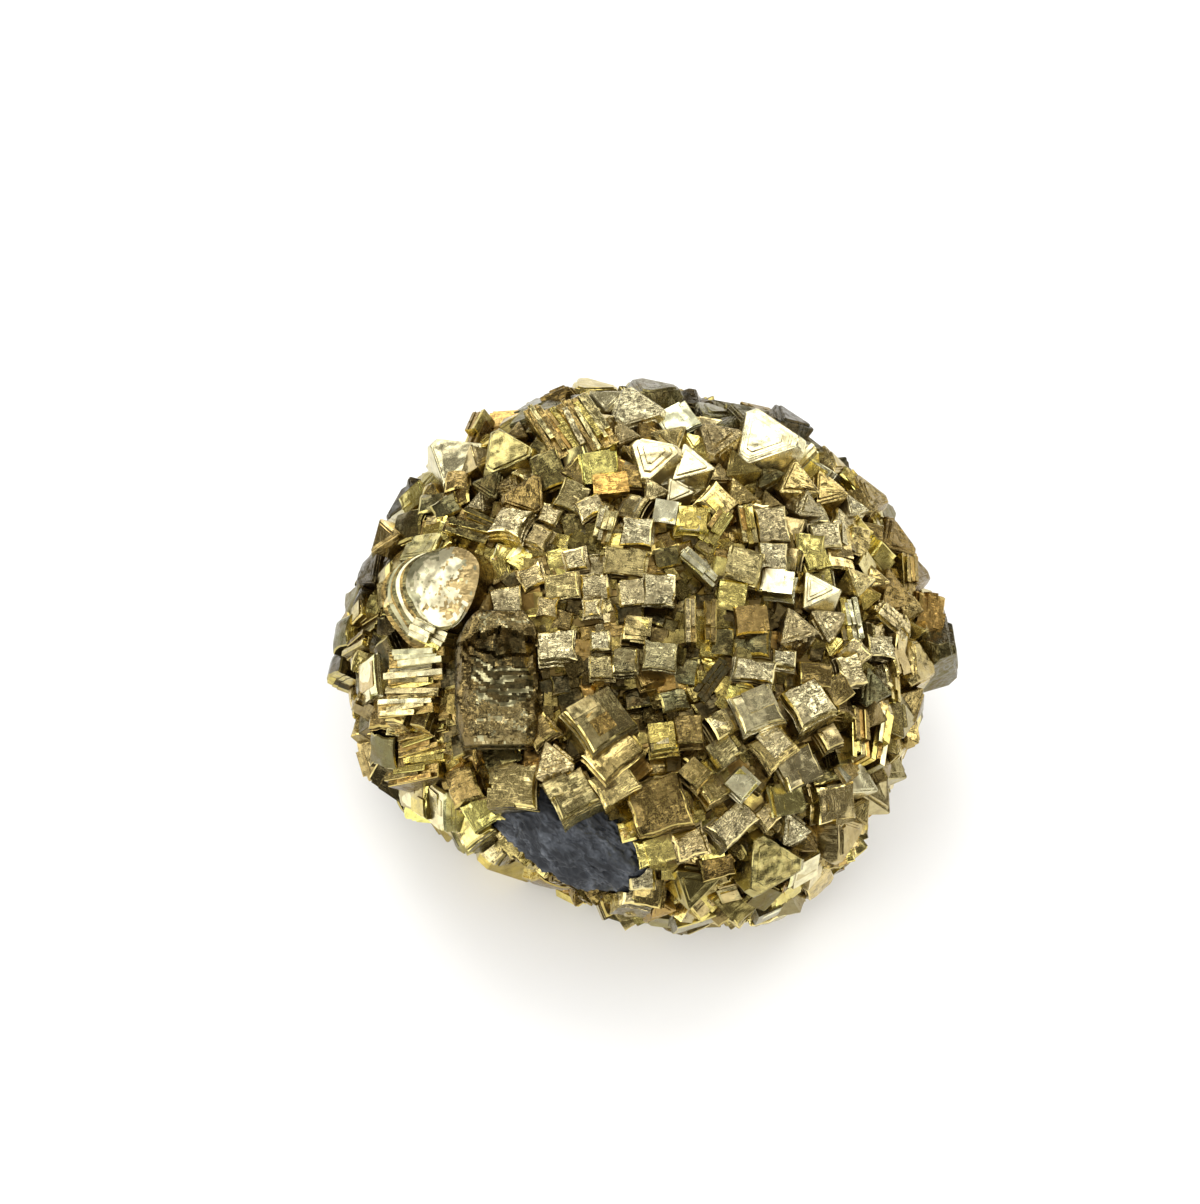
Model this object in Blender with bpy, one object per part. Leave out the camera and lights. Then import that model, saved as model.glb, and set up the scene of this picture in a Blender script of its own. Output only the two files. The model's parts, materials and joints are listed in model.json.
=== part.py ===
"""Marcasite cluster: a ball of intergrown brassy crystals, with a patch of the dark rock that it grew on.

Two solids: the crystals, which are fused into one, and the host rock, which shows in a window at the front
left. Metres, +Z up, origin at the middle of the flat underside that the cluster rests on. The show side,
which carries the best crystals, faces up and towards -Y. Places on it are given in millimetres right and up
from its middle, as seen by an eye straight in front of it.
"""

import math
import random

import bmesh
import bpy
from mathutils import Matrix, Vector, noise
from mathutils.bvhtree import BVHTree

MM = 0.001

# The ball that the crystals stand on.
CORE_RADII = Vector((27.2, 26.8, 18.8)) * MM
CORE_MIDDLE = Vector((-0.08, -1.07, 16.8)) * MM
CORE_SUBDIVISIONS = 3
CORE_ROUGHNESS = 0.5 * MM
CORE_GRAIN = 2.5
# Swells and hollows of the core: angle round the show side's edge, turn out of that edge towards the eye
# (both in degrees), reach in degrees, and height in millimetres.
CORE_SWELLS = (
    (12, 0, 14, 1.8),
    (340, 0, 14, -1.9),
    (304, 0, 20, 2.4),
    (240, 12, 22, -3.2),
    (233, 0, 10, -1.8),
    (213, 0, 10, 1.4),
    (178, 0, 16, 2.6),
    (140, 0, 18, 1.8),
    (98, 0, 26, 2.8),
    (51, 5, 14, 2.9),
)

# The show side: its tilt back from facing the viewer's feet, and how far off the eye is.
SHOW_RISE = math.radians(58)
EYE_DISTANCE = 280 * MM
SHOW_OUT = Vector((0, -math.cos(SHOW_RISE), math.sin(SHOW_RISE)))
SHOW_UP = Vector((0, math.sin(SHOW_RISE), math.cos(SHOW_RISE)))
SHOW_RIGHT = Vector((1, 0, 0))
# Crystals that grew parallel to each other, so that their faces flash together.
SKY = "sky"
SKY_WAY = Vector((-0.12, -0.08, 0.99)).normalized()
SIDE = "side"
SIDE_WAY = (SHOW_OUT * 0.88 - SHOW_RIGHT * 0.45 + SHOW_UP * 0.12).normalized()
PARALLEL_WAYS = {SKY: SKY_WAY, SIDE: SIDE_WAY}
SHOW_MIDDLE = CORE_MIDDLE + Vector((0.1, -0.3, 2.0)) * MM

# The dark host rock: middle (right, up, in), half sizes, and slant of its long axis on the show side. The
# window is the oval that no crystal stands in; the seam is the gap between rock and crystals.
ROCK_MIDDLE = (-6.6, -19.0)
ROCK_DEPTH = 3.6 * MM
ROCK_RADII = Vector((9.4, 6.2, 5.4)) * MM
ROCK_SLANT = math.radians(-20)
ROCK_SUBDIVISIONS = 3
ROCK_ROUGHNESS = 0.9 * MM
ROCK_GRAIN = Vector((1.6, 3.2, 2.2))
WINDOW_MIDDLE = (-6.6, -19.9)
WINDOW_RADII = (8.0, 4.2)
SEAM = 0.3 * MM

UNDERSIDE_CUT = 100 * MM
SEED = 11

# How deep a crystal is rooted in the core.
ROOT = 2.6 * MM

# Crystals set one by one: form, right, up, width, length, turn (degrees), rise, facing.
# Turn is about the crystal's own upright; rise is how far it stands out of the core; facing turns its upright
# from square to the core (0) to square to the show side (1), or sets it with the parallel ones.
SET_CRYSTALS = (
    # Left: the big terraced plate, the dark barrel and the ladder of ribbed slabs.
    ("shield", -19.9, 6.3, 7.2, 6.8, 0, 3.4, SIDE),
    ("barrel", -14.9, -3.2, 6.8, 12.6, 2, 4.0, 1.1),
    ("ladder", -22.0, -3.6, 6.4, 6.2, 4, 2.6, SIDE),
    ("ladder", -21.2, -10.6, 6.6, 5.6, 3, 2.0, 0.2),
    ("ladder", -27.6, 1.4, 3.6, 4.8, -8, 1.2, 0.1),
    ("block", -27.6, -3.6, 3.2, 3.2, -30, 1.0, 0.2),
    ("block", -26.4, -7.2, 2.6, 2.6, 20, 1.0, 0.2),
    ("block", -24.2, 2.2, 3.4, 2.2, -20, 1.8, 0.3),
    ("point", -26.6, 7.0, 3.4, 3.4, 60, 1.2, 0.0),
    # Upper left.
    ("point", -26.0, 11.4, 2.4, 2.4, 10, 1.4, 0.2),
    ("point", -24.2, 12.6, 3.6, 3.6, 40, 1.6, 0.2),
    ("block", -23.2, 14.8, 3.0, 2.6, 5, 1.9, 0.3),
    ("point", -22.0, 17.2, 3.2, 3.2, 15, 1.4, 0.2),
    ("point", -19.2, 18.4, 5.2, 5.2, 35, 2.6, SKY),
    ("slab", -16.0, 20.4, 1.6, 5.4, -15, 3.0, 0.3),
    ("point", -13.6, 18.4, 5.2, 5.2, 0, 3.1, 0.55),
    ("point", -15.2, 15.8, 2.8, 2.8, 60, 2.2, 0.5),
    ("block", -9.6, 17.4, 2.8, 3.8, 12, 2.6, 0.4),
    ("point", -14.2, 24.6, 3.4, 3.4, 20, 1.7, 0.1),
    ("ladder", -16.2, 11.6, 6.0, 3.2, -24, 2.0, 0.5),
    ("block", -19.6, 13.6, 3.0, 2.4, 20, 1.8, 0.4),
    ("block", -20.6, 11.4, 2.6, 2.4, -10, 1.6, 0.4),
    ("ladder", -7.4, 21.2, 7.4, 6.2, -60, 3.0, 0.45),
    ("point", -12.2, 23.2, 2.8, 2.8, 5, 2.0, 0.3),
    # Top edge, left to right.
    ("point", -10.4, 26.4, 3.2, 3.2, 0, 1.5, 0.0),
    ("point", -7.6, 26.8, 2.8, 2.8, 30, 1.6, 0.0),
    ("point", -4.6, 26.0, 3.2, 3.2, 50, 1.5, 0.2),
    ("point", 0.6, 26.6, 5.2, 5.2, 30, 2.4, 0.1),
    ("point", -1.2, 23.4, 5.0, 5.0, 5, 2.2, 0.35),
    ("block", 3.0, 24.4, 3.4, 3.2, 30, 2.0, SKY),
    ("point", 6.6, 24.0, 3.4, 3.4, 15, 1.4, 0.2),
    ("point", 10.4, 24.0, 3.4, 3.4, 40, 1.4, 0.0),
    ("point", 11.9, 20.2, 6.6, 6.6, 5, 3.4, SKY),
    ("point", 16.2, 22.2, 4.4, 4.4, 20, 1.8, 0.1),
    ("point", 18.8, 20.2, 3.6, 3.6, 45, 1.8, 0.15),
    ("slab", 15.4, 18.8, 1.6, 4.4, -42, 2.3, SKY),
    # Upper middle: the row of bright triangular faces.
    ("point", 0.8, 18.3, 4.8, 4.8, 30, 2.8, SKY),
    ("point", 4.6, 17.8, 3.8, 3.8, 0, 2.6, SKY),
    ("point", 2.0, 21.2, 4.0, 4.0, 50, 2.2, 0.4),
    ("point", 7.2, 20.4, 4.4, 4.4, 20, 2.2, 0.4),
    ("point", 3.2, 15.4, 2.6, 2.6, 10, 1.9, SKY),
    ("block", -3.6, 16.4, 3.2, 2.2, 0, 2.0, 0.5),
    ("point", 14.3, 16.6, 3.8, 3.8, 0, 2.4, 0.45),
    ("point", 12.0, 17.4, 2.8, 2.8, 25, 1.4, 0.4),
    ("point", 17.4, 16.0, 3.4, 3.4, 15, 2.0, 0.4),
    ("point", 21.0, 15.2, 4.6, 4.6, 35, 2.3, 0.3),
    ("slab", 23.6, 14.8, 1.6, 3.4, 5, 1.9, 0.3),
    ("block", 20.4, 17.2, 3.6, 1.8, -8, 1.6, 0.2),
    # Right edge.
    ("point", 23.6, 11.0, 4.8, 4.8, 10, 2.4, 0.3),
    ("point", 26.6, 9.2, 5.0, 5.0, 50, 1.9, 0.1),
    ("slab", 25.2, 8.0, 1.6, 4.8, 4, 2.2, 0.3),
    ("point", 26.4, 13.0, 2.8, 2.8, 30, 1.0, 0.0),
    ("point", 27.4, 1.0, 7.4, 7.4, 25, 3.4, 0.05),
    # Middle: rows of square faces.
    ("block", -8.4, 0.0, 3.6, 3.0, 2, 2.3, 0.8),
    ("block", -4.1, 0.9, 1.9, 2.0, 0, 2.0, 0.8),
    ("block", -4.0, -1.7, 2.2, 2.2, -3, 1.7, 0.8),
    ("block", -1.6, -1.2, 2.3, 2.4, 4, 1.9, 0.8),
    ("block", 1.7, -0.5, 3.1, 2.7, -3, 2.4, 0.8),
    ("block", -9.4, 4.0, 2.0, 1.9, -5, 1.8, 0.7),
    ("block", -5.0, 4.1, 1.5, 1.5, 4, 1.9, 0.7),
    ("block", -8.0, 6.2, 3.0, 2.4, 6, 1.8, 0.7),
    ("block", -1.3, 5.7, 2.2, 2.3, 4, 2.1, 0.8),
    ("block", 1.4, 6.2, 2.9, 3.0, 0, 2.5, 0.8),
    ("block", -11.0, 7.0, 2.4, 2.4, 28, 1.9, 0.7),
    ("block", -6.8, 9.0, 2.0, 2.0, 8, 2.1, 0.7),
    ("block", -2.0, 8.8, 3.9, 2.7, -2, 2.1, 0.8),
    ("block", 2.3, 9.4, 2.4, 2.0, 12, 1.7, 0.7),
    ("slab", 5.2, 8.4, 1.3, 4.4, 48, 2.4, 0.7),
    ("block", -9.3, 13.2, 2.2, 2.0, -20, 2.0, 0.6),
    ("block", -10.3, 11.0, 2.1, 2.1, -24, 1.9, 0.6),
    ("block", -5.6, 14.0, 2.6, 2.0, 30, 2.0, 0.6),
    ("slab", -4.0, 12.2, 1.8, 3.6, -12, 2.1, 0.6),
    ("slab", 4.6, 3.0, 1.0, 4.6, 2, 2.1, 0.7),
    ("slab", 6.6, 3.0, 1.1, 4.2, -4, 2.0, 0.7),
    # Upper right: tall rough columns and squares.
    ("slab", 12.3, 11.2, 3.1, 7.2, 5, 2.7, 0.65),
    ("slab", 9.9, 12.4, 1.5, 4.4, 3, 2.2, 0.6),
    ("block", 9.7, 8.5, 3.1, 3.2, -8, 2.6, 0.7),
    ("block", 4.6, 12.8, 3.2, 2.8, -6, 2.2, 0.6),
    ("slab", 6.7, 12.2, 1.7, 4.0, -30, 2.3, 0.6),
    ("point", 8.8, 15.4, 2.8, 2.8, 15, 2.0, 0.5),
    ("block", 17.4, 11.8, 3.0, 2.6, 10, 2.2, 0.5),
    ("block", 20.5, 11.2, 2.0, 3.0, -4, 2.1, 0.4),
    ("block", 16.9, 9.0, 2.4, 1.8, 12, 1.9, 0.5),
    ("point", 20.6, 7.0, 2.8, 2.8, 30, 2.0, 0.4),
    ("block", 13.3, 6.5, 3.2, 2.2, -8, 2.1, 0.7),
    ("point", 17.4, 5.6, 3.4, 3.4, 12, 2.1, 0.5),
    ("point", 17.8, 3.0, 3.0, 3.0, 40, 2.1, 0.5),
    ("slab", 20.1, 3.2, 2.1, 4.6, 2, 2.3, 0.45),
    ("slab", 23.6, 3.6, 2.1, 4.6, 65, 2.3, 0.3),
    ("block", 23.0, 0.9, 2.8, 2.4, 4, 1.8, 0.3),
    ("block", 10.6, 3.4, 3.0, 2.8, 6, 1.5, 0.7),
    # Right of the middle.
    ("point", 14.9, 2.0, 3.4, 3.4, 0, 2.5, 0.6),
    ("block", 10.9, -1.7, 3.9, 2.1, -10, 2.5, 0.7),
    ("block", 13.8, -0.6, 2.2, 1.6, -4, 2.0, 0.6),
    ("block", 16.8, -1.9, 3.4, 2.4, 6, 1.8, 0.5),
    ("block", 20.0, -1.6, 2.6, 3.2, 14, 2.3, 0.4),
    ("point", 22.0, -3.2, 3.4, 3.4, 20, 1.9, 0.3),
    ("slab", 24.0, -3.0, 1.5, 3.2, 4, 1.8, 0.2),
    # Lower right: squares set on their corners.
    ("block", 11.4, -5.9, 3.9, 3.7, 32, 2.9, 0.55),
    ("block", 16.0, -5.6, 4.0, 3.9, 38, 3.0, 0.5),
    ("block", 13.1, -9.3, 3.5, 3.3, 36, 2.7, 0.55),
    ("block", 15.2, -11.3, 3.5, 3.3, 34, 3.0, 0.5),
    ("block", 18.3, -8.6, 2.0, 2.0, 38, 2.0, 0.4),
    ("slab", 20.6, -8.0, 1.9, 5.6, -12, 2.5, 0.35),
    ("slab", 22.5, -8.4, 1.6, 6.0, -18, 2.9, 0.3),
    ("block", 24.8, -8.2, 2.6, 3.4, 0, 1.6, 0.1),
    ("block", 18.4, -14.2, 4.2, 3.6, 12, 2.4, 0.3),
    ("point", 18.9, -17.2, 4.8, 4.8, 20, 2.3, 0.2),
    ("block", 24.2, -13.0, 2.6, 3.6, 8, 1.9, 0.15),
    ("block", 14.0, -14.2, 3.0, 2.8, 20, 2.0, 0.4),
    ("block", 12.4, -15.9, 2.1, 2.1, 44, 2.0, 0.45),
    ("point", 14.8, -17.2, 2.8, 2.8, 10, 1.8, 0.4),
    ("point", 12.3, -20.2, 5.8, 5.8, 15, 2.9, 0.35),
    ("block", 19.6, -19.4, 3.0, 2.4, 14, 1.6, 0.1),
    ("block", 17.0, -21.8, 3.2, 2.2, 16, 1.5, 0.1),
    # Lower middle: large smooth squares on their corners, round the rock.
    ("block", -4.4, -7.8, 5.0, 4.8, 40, 3.5, 0.6),
    ("block", -2.6, -11.2, 4.7, 3.4, 38, 3.4, 0.5),
    ("block", -2.7, -14.0, 3.8, 3.0, 34, 3.2, 0.45),
    ("block", -6.4, -14.9, 3.9, 3.8, 30, 3.4, 0.4),
    ("point", -8.4, -11.9, 3.4, 3.4, 10, 2.8, 0.5),
    ("block", -12.0, -13.8, 4.6, 4.4, -6, 2.6, 0.4),
    ("block", -16.8, -13.6, 3.4, 3.8, 24, 1.9, 0.3),
    ("block", -9.8, -8.0, 2.6, 2.6, 42, 1.8, 0.5),
    ("block", -13.6, -11.0, 3.0, 2.2, 8, 1.9, 0.4),
    ("block", 2.0, -15.2, 5.0, 4.8, 17, 3.0, 0.5),
    ("block", 5.5, -12.4, 2.2, 2.2, 46, 2.2, 0.5),
    ("block", 2.1, -8.9, 2.4, 2.6, 8, 2.0, 0.6),
    ("block", 4.7, -8.0, 2.5, 2.7, 12, 1.9, 0.6),
    ("block", 7.6, -7.4, 2.6, 2.4, 24, 1.9, 0.6),
    ("block", 8.0, -9.8, 2.5, 2.4, 38, 1.8, 0.55),
    ("block", 9.8, -13.0, 2.3, 2.3, 46, 2.3, 0.5),
    ("block", 7.2, -13.8, 2.4, 2.0, 30, 1.8, 0.5),
    ("block", 8.9, -17.0, 4.2, 2.8, 40, 2.6, 0.4),
    ("block", 5.0, -18.6, 2.9, 2.7, 22, 2.5, 0.35),
    ("block", 1.4, -19.7, 3.0, 2.4, 18, 2.4, 0.3),
    ("block", 0.4, -22.0, 2.4, 2.4, 4, 1.7, 0.25),
    ("block", 7.6, -20.8, 3.4, 2.2, 14, 1.8, 0.3),
    ("point", 5.2, -22.2, 4.0, 4.0, 30, 2.2, 0.2),
    # Bottom edge.
    ("block", 5.6, -25.2, 4.8, 3.6, 2, 1.8, 0.0),
    ("block", 9.0, -25.2, 2.2, 3.6, -4, 2.0, 0.0),
    ("block", 11.8, -24.8, 3.4, 3.0, 6, 1.6, 0.0),
    ("block", 14.2, -22.6, 3.6, 2.4, 18, 1.5, 0.1),
    ("point", 1.6, -25.0, 2.6, 2.6, 20, 1.1, 0.0),
    ("point", -2.8, -25.6, 2.6, 2.6, 50, 0.9, 0.0),
    ("point", -5.2, -25.2, 2.2, 2.2, 10, 0.9, 0.0),
    ("block", -9.2, -23.0, 3.0, 1.8, -38, 0.7, 0.0),
    ("block", -12.4, -21.4, 3.0, 1.8, -34, 0.7, 0.0),
    ("block", -15.6, -19.6, 3.0, 1.8, -30, 0.9, 0.0),
    ("point", -19.4, -16.8, 4.2, 4.2, 25, 1.5, 0.1),
    ("block", -23.2, -14.6, 3.8, 2.6, -16, 1.6, 0.1),
)

# Crystals between and behind those, in millimetres wide: on the show side, round its edge, and on the back.
# No two stand closer than the spacing, a share of their widths added together. Rise is a share of the width,
# and lean is how far the upright may stray.
FILL_TRIES = 1500
FILL_SHOW_WIDTH = (2.4, 3.2)
FILL_EDGE_WIDTH = (2.8, 3.6)
FILL_BACK_WIDTH = (5.0, 7.2)
FILL_SPACING = 0.52
FILL_RISE = (0.42, 0.7)
FILL_LEAN = 0.16
EDGE_LEAN = 0.32
# How far the surface looks towards the eye where the show side ends and where the back begins.
EDGE = 0.02
BACK = -0.42
# Where the show side's own kinds of crystal change: eight-sided ones at the top and right, flat-set ones in
# the middle and left, and ones set on a corner at the bottom.
POINTS_ABOVE = 13
POINTS_RIGHT_OF = 19
SLABS_LEFT_OF = -17
CORNERS_BELOW = -4

# Eight-sided crystals wider than this have blunt points, cut off at this share of an edge.
BLUNT_WIDTH = 4.3 * MM
POINT_CUT = 0.16
# Ribs of the ladders of slabs.
RIB_PITCH = 1.5 * MM
RIB_STEP = 0.45 * MM
# The terraced plate: how many plates, how thick, how far each sets off from the next, where a corner points.
SHIELD_PLATES = 3
SHIELD_STEP = 0.9 * MM
SHIELD_SIDES = 9
SHIELD_DRIFT = Vector((-0.55, -0.25)) * MM
SHIELD_CORNER = math.radians(38)
# The barrel's curved steps.
BARREL_STEPS = 4
BARREL_STEP = 0.9 * MM
BARREL_SIDES = 5


def core_mesh():
    """The ball under the crystals: an ellipsoid with broad swells and hollows and a coarse surface."""
    ball = bmesh.new()
    bmesh.ops.create_icosphere(ball, subdivisions=CORE_SUBDIVISIONS, radius=1)
    for vert in ball.verts:
        way = vert.co.normalized()
        place = Vector(r * w for r, w in zip(CORE_RADII, way))
        for round_edge, towards_eye, reach, height in CORE_SWELLS:
            a, t = math.radians(round_edge), math.radians(towards_eye)
            edge = SHOW_RIGHT * math.cos(a) + SHOW_UP * math.sin(a)
            peak = edge * math.cos(t) + SHOW_OUT * math.sin(t)
            off = math.degrees(place.angle(peak)) / reach
            place += way * height * MM * math.exp(-off * off)
        place += way * CORE_ROUGHNESS * noise.noise(way * CORE_GRAIN)
        vert.co = CORE_MIDDLE + place
    return ball


def eye_ray(right, up):
    """Where the eye is, and the way it looks to a place on the show side given in millimetres."""
    eye = SHOW_MIDDLE + SHOW_OUT * EYE_DISTANCE
    target = SHOW_MIDDLE + (SHOW_RIGHT * right + SHOW_UP * up) * MM
    return eye, (target - eye).normalized(), target


def on_core(tree, right, up):
    """The point and outward normal of the core that a place on the show side falls on, or lies nearest to."""
    eye, way, target = eye_ray(right, up)
    point, normal, _, _ = tree.ray_cast(eye, way)
    if point is None:
        point, normal, _, _ = tree.find_nearest(target)
    away = point - CORE_MIDDLE
    smooth = Vector(a / (r * r) for a, r in zip(away, CORE_RADII)).normalized()
    return point, smooth


def seen_at(point):
    """A point's place on the show side in millimetres, right and up."""
    eye = SHOW_MIDDLE + SHOW_OUT * EYE_DISTANCE
    way = point - eye
    reach = EYE_DISTANCE / -way.dot(SHOW_OUT)
    on_plane = eye + way * reach - SHOW_MIDDLE
    return on_plane.dot(SHOW_RIGHT) / MM, on_plane.dot(SHOW_UP) / MM


def standing(point, upright, turn):
    """The matrix of a crystal whose own Z is its upright, and whose X is the show side's right, turned."""
    across = SHOW_RIGHT - upright * SHOW_RIGHT.dot(upright)
    if across.length < 0.2:
        across = SHOW_UP - upright * SHOW_UP.dot(upright)
    across.normalize()
    frame = Matrix((across, upright.cross(across), upright)).transposed().to_4x4()
    return Matrix.Translation(point) @ frame @ Matrix.Rotation(math.radians(turn), 4, "Z")


def add_prism(mesh, outline, low, high, matrix):
    """A closed prism on an anticlockwise outline, from one height to another."""
    rings = [[mesh.verts.new(matrix @ Vector((x, y, z))) for x, y in outline] for z in (low, high)]
    mesh.faces.new(reversed(rings[0]))
    mesh.faces.new(rings[1])
    count = len(outline)
    for i in range(count):
        j = (i + 1) % count
        mesh.faces.new((rings[0][i], rings[0][j], rings[1][j], rings[1][i]))


def add_box(mesh, width, length, low, high, matrix, middle=(0, 0)):
    """A closed box, its footprint centred on middle."""
    x, y = width / 2, length / 2
    corners = ((-x, -y), (x, -y), (x, y), (-x, y))
    add_prism(mesh, [(cx + middle[0], cy + middle[1]) for cx, cy in corners], low, high, matrix)


def add_block(mesh, width, length, rise, matrix):
    """A square crystal that stands on its root."""
    add_box(mesh, width, length, -ROOT, rise, matrix)


def add_point(mesh, width, length, rise, matrix):
    """An eight-sided crystal lying on a triangular face; the large ones have their points cut off."""
    cut = POINT_CUT if width > BLUNT_WIDTH else 0
    corners = [Vector(s * a for s in axis) for axis in ((1, 0, 0), (0, 1, 0), (0, 0, 1)) for a in (1, -1)]
    points = corners
    if cut:
        points = [c.lerp(other, cut) for c in corners for other in corners if abs(c.dot(other)) < 0.5]
    lay_down = Vector((1, 1, 1)).rotation_difference(Vector((0, 0, 1))).to_matrix()
    face_height = 1 / math.sqrt(3)
    # An octahedron's triangular face is sqrt(3/2) of its radius across from a side to the corner beyond it.
    size = width / math.sqrt(1.5)
    lift = Matrix.Translation((0, 0, rise - size * face_height))
    verts = [mesh.verts.new(matrix @ lift @ (lay_down @ p * size)) for p in points]
    hull = bmesh.ops.convex_hull(mesh, input=verts)
    spare = [e for e in hull["geom_unused"] + hull["geom_interior"] if isinstance(e, bmesh.types.BMVert)]
    bmesh.ops.delete(mesh, geom=spare, context="VERTS")


def add_slab(mesh, width, length, rise, matrix):
    """A long crystal with one end lower than the other."""
    add_box(mesh, width, length, -ROOT, rise * 0.8, matrix)
    add_box(mesh, width * 0.86, length * 0.62, -ROOT, rise, matrix, (0, length * 0.12))


def add_ladder(mesh, width, length, rise, matrix):
    """Ribbed slabs side by side, like the rungs of a ladder, each a step higher or lower than the last."""
    rungs = max(2, round(length / RIB_PITCH))
    step = length / rungs
    for i in range(rungs):
        high = rise - RIB_STEP * ((i * 2) % 3)
        shift = RIB_STEP * ((i * 5) % 4 - 1.5)
        add_box(mesh, width, step * 1.12, -ROOT, high, matrix, (shift, (i + 0.5) * step - length / 2))


def add_shield(mesh, width, length, rise, matrix):
    """Rounded three-sided plates, stacked, each smaller than the one under it and set to one side."""
    for i in range(SHIELD_PLATES):
        below = SHIELD_PLATES - 1 - i
        grown = 1 + 0.10 * below
        drift = SHIELD_DRIFT * below
        outline = []
        for k in range(SHIELD_SIDES):
            a = 2 * math.pi * k / SHIELD_SIDES
            reach = grown * (1 + 0.17 * math.cos(3 * (a - SHIELD_CORNER))) / 2
            outline.append((math.cos(a) * width * reach + drift.x, math.sin(a) * length * reach + drift.y))
        add_prism(mesh, outline, -ROOT, rise - SHIELD_STEP * below, matrix)


def add_barrel(mesh, width, length, rise, matrix):
    """A thick upright block, with curved steps that go down into a hollow at its far end."""
    half = width / 2
    for i in range(BARREL_STEPS):
        reach = half * (0.3 + 0.2 * i)
        floor = length / 2 - length * (0.06 + 0.17 * i)
        arc = []
        for k in range(BARREL_SIDES + 1):
            a = math.pi * k / BARREL_SIDES
            arc.append((reach * math.cos(a), floor + reach * (1 - math.sin(a))))
        outline = [(-half, -length / 2), (half, -length / 2), (half, arc[0][1]), *arc, (-half, arc[-1][1])]
        add_prism(mesh, outline, -ROOT, rise - BARREL_STEP * (BARREL_STEPS - 1 - i), matrix)


FORMS = {
    "block": add_block,
    "point": add_point,
    "slab": add_slab,
    "ladder": add_ladder,
    "shield": add_shield,
    "barrel": add_barrel,
}


def set_places(tree):
    """The crystals of the list: form, matrix, width, length, rise."""
    for form, right, up, width, length, turn, rise, facing in SET_CRYSTALS:
        point, square = on_core(tree, right, up)
        if facing in PARALLEL_WAYS:
            upright = PARALLEL_WAYS[facing]
        else:
            upright = square.lerp(SHOW_OUT, facing).normalized()
        yield form, standing(point, upright, turn), width * MM, length * MM, rise * MM


def in_rock_window(right, up):
    """Whether a place on the show side is in the window where the rock is bare."""
    x, y = right - WINDOW_MIDDLE[0], up - WINDOW_MIDDLE[1]
    along = x * math.cos(ROCK_SLANT) + y * math.sin(ROCK_SLANT)
    across = y * math.cos(ROCK_SLANT) - x * math.sin(ROCK_SLANT)
    return (along / WINDOW_RADII[0]) ** 2 + (across / WINDOW_RADII[1]) ** 2 < 1


def fill_habit(right, up, outwards, chance):
    """The form, width, turn and facing of a crystal that fills a gap, by where it is."""
    if outwards < BACK:
        width = chance.uniform(*FILL_BACK_WIDTH)
        form = "point" if chance.random() < 0.35 else "block"
        return form, width, chance.uniform(0, 90), 0.0
    if outwards < EDGE:
        form = "point" if up > 0 else "block"
        return form, chance.uniform(*FILL_EDGE_WIDTH), chance.uniform(0, 90), 0.0
    width = chance.uniform(*FILL_SHOW_WIDTH)
    if up > POINTS_ABOVE or right > POINTS_RIGHT_OF:
        return "point", width + 0.7, chance.uniform(0, 120), 0.3
    if right < SLABS_LEFT_OF:
        return "block", width + 0.3, chance.uniform(-12, 12), 0.2
    if up < CORNERS_BELOW:
        return "block", width, chance.uniform(25, 55), 0.4
    return "block", width, chance.uniform(-12, 12), 0.6


def fill_places(tree, taken):
    """Crystals that fill what the list leaves open, none closer to another than its width allows."""
    chance = random.Random(SEED)
    golden = math.pi * (3 - math.sqrt(5))
    order = list(range(FILL_TRIES))
    chance.shuffle(order)
    for i in order:
        height = 1 - 2 * (i + 0.5) / FILL_TRIES
        flat = math.sqrt(1 - height * height)
        way = Vector((flat * math.cos(i * golden), flat * math.sin(i * golden), height))
        point, _, _, _ = tree.ray_cast(CORE_MIDDLE, way)
        away = point - CORE_MIDDLE
        square = Vector(a / (r * r) for a, r in zip(away, CORE_RADII)).normalized()
        outwards = square.dot(SHOW_OUT)
        right, up = seen_at(point)
        form, width, turn, facing = fill_habit(right, up, outwards, chance)
        rise = width * chance.uniform(*FILL_RISE)
        lean = Vector(chance.uniform(-1, 1) for _ in range(3)) * (FILL_LEAN if outwards > EDGE else EDGE_LEAN)
        if outwards > EDGE and in_rock_window(right, up):
            continue
        if any((point - other).length < FILL_SPACING * (width * MM + wide) for other, wide in taken):
            continue
        taken.append((point, width * MM))
        upright = (square.lerp(SHOW_OUT, facing) + lean).normalized()
        yield form, standing(point, upright, turn), width * MM, width * MM, rise * MM


def crystals_mesh(tree):
    """Every crystal, as closed shapes that run into each other."""
    mesh = bmesh.new()
    taken = []
    for form, matrix, width, length, rise in set_places(tree):
        FORMS[form](mesh, width, length, rise, matrix)
        taken.append((matrix.translation.copy(), (width + length) / 2))
    for form, matrix, width, length, rise in fill_places(tree, taken):
        FORMS[form](mesh, width, length, rise, matrix)
    return mesh


def rock_mesh(tree, swollen=0.0):
    """The lump of host rock, a rough ellipsoid sunk in the core; swollen adds to it all over."""
    point, square = on_core(tree, *ROCK_MIDDLE)
    matrix = standing(point - square * ROCK_DEPTH, square, math.degrees(ROCK_SLANT))
    lump = bmesh.new()
    bmesh.ops.create_icosphere(lump, subdivisions=ROCK_SUBDIVISIONS, radius=1)
    for vert in lump.verts:
        way = vert.co.normalized()
        rough = ROCK_ROUGHNESS * noise.noise(way * ROCK_GRAIN)
        vert.co = matrix @ Vector(w * (r + rough + swollen) for r, w in zip(ROCK_RADII, way))
    return lump


def new_object(name, mesh, material=None):
    """A Blender object from a bmesh, which it frees."""
    data = bpy.data.meshes.new(name)
    bmesh.ops.recalc_face_normals(mesh, faces=mesh.faces)
    mesh.to_mesh(data)
    mesh.free()
    made = bpy.data.objects.new(name, data)
    bpy.context.scene.collection.objects.link(made)
    if material:
        data.materials.append(material)
    return made


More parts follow.
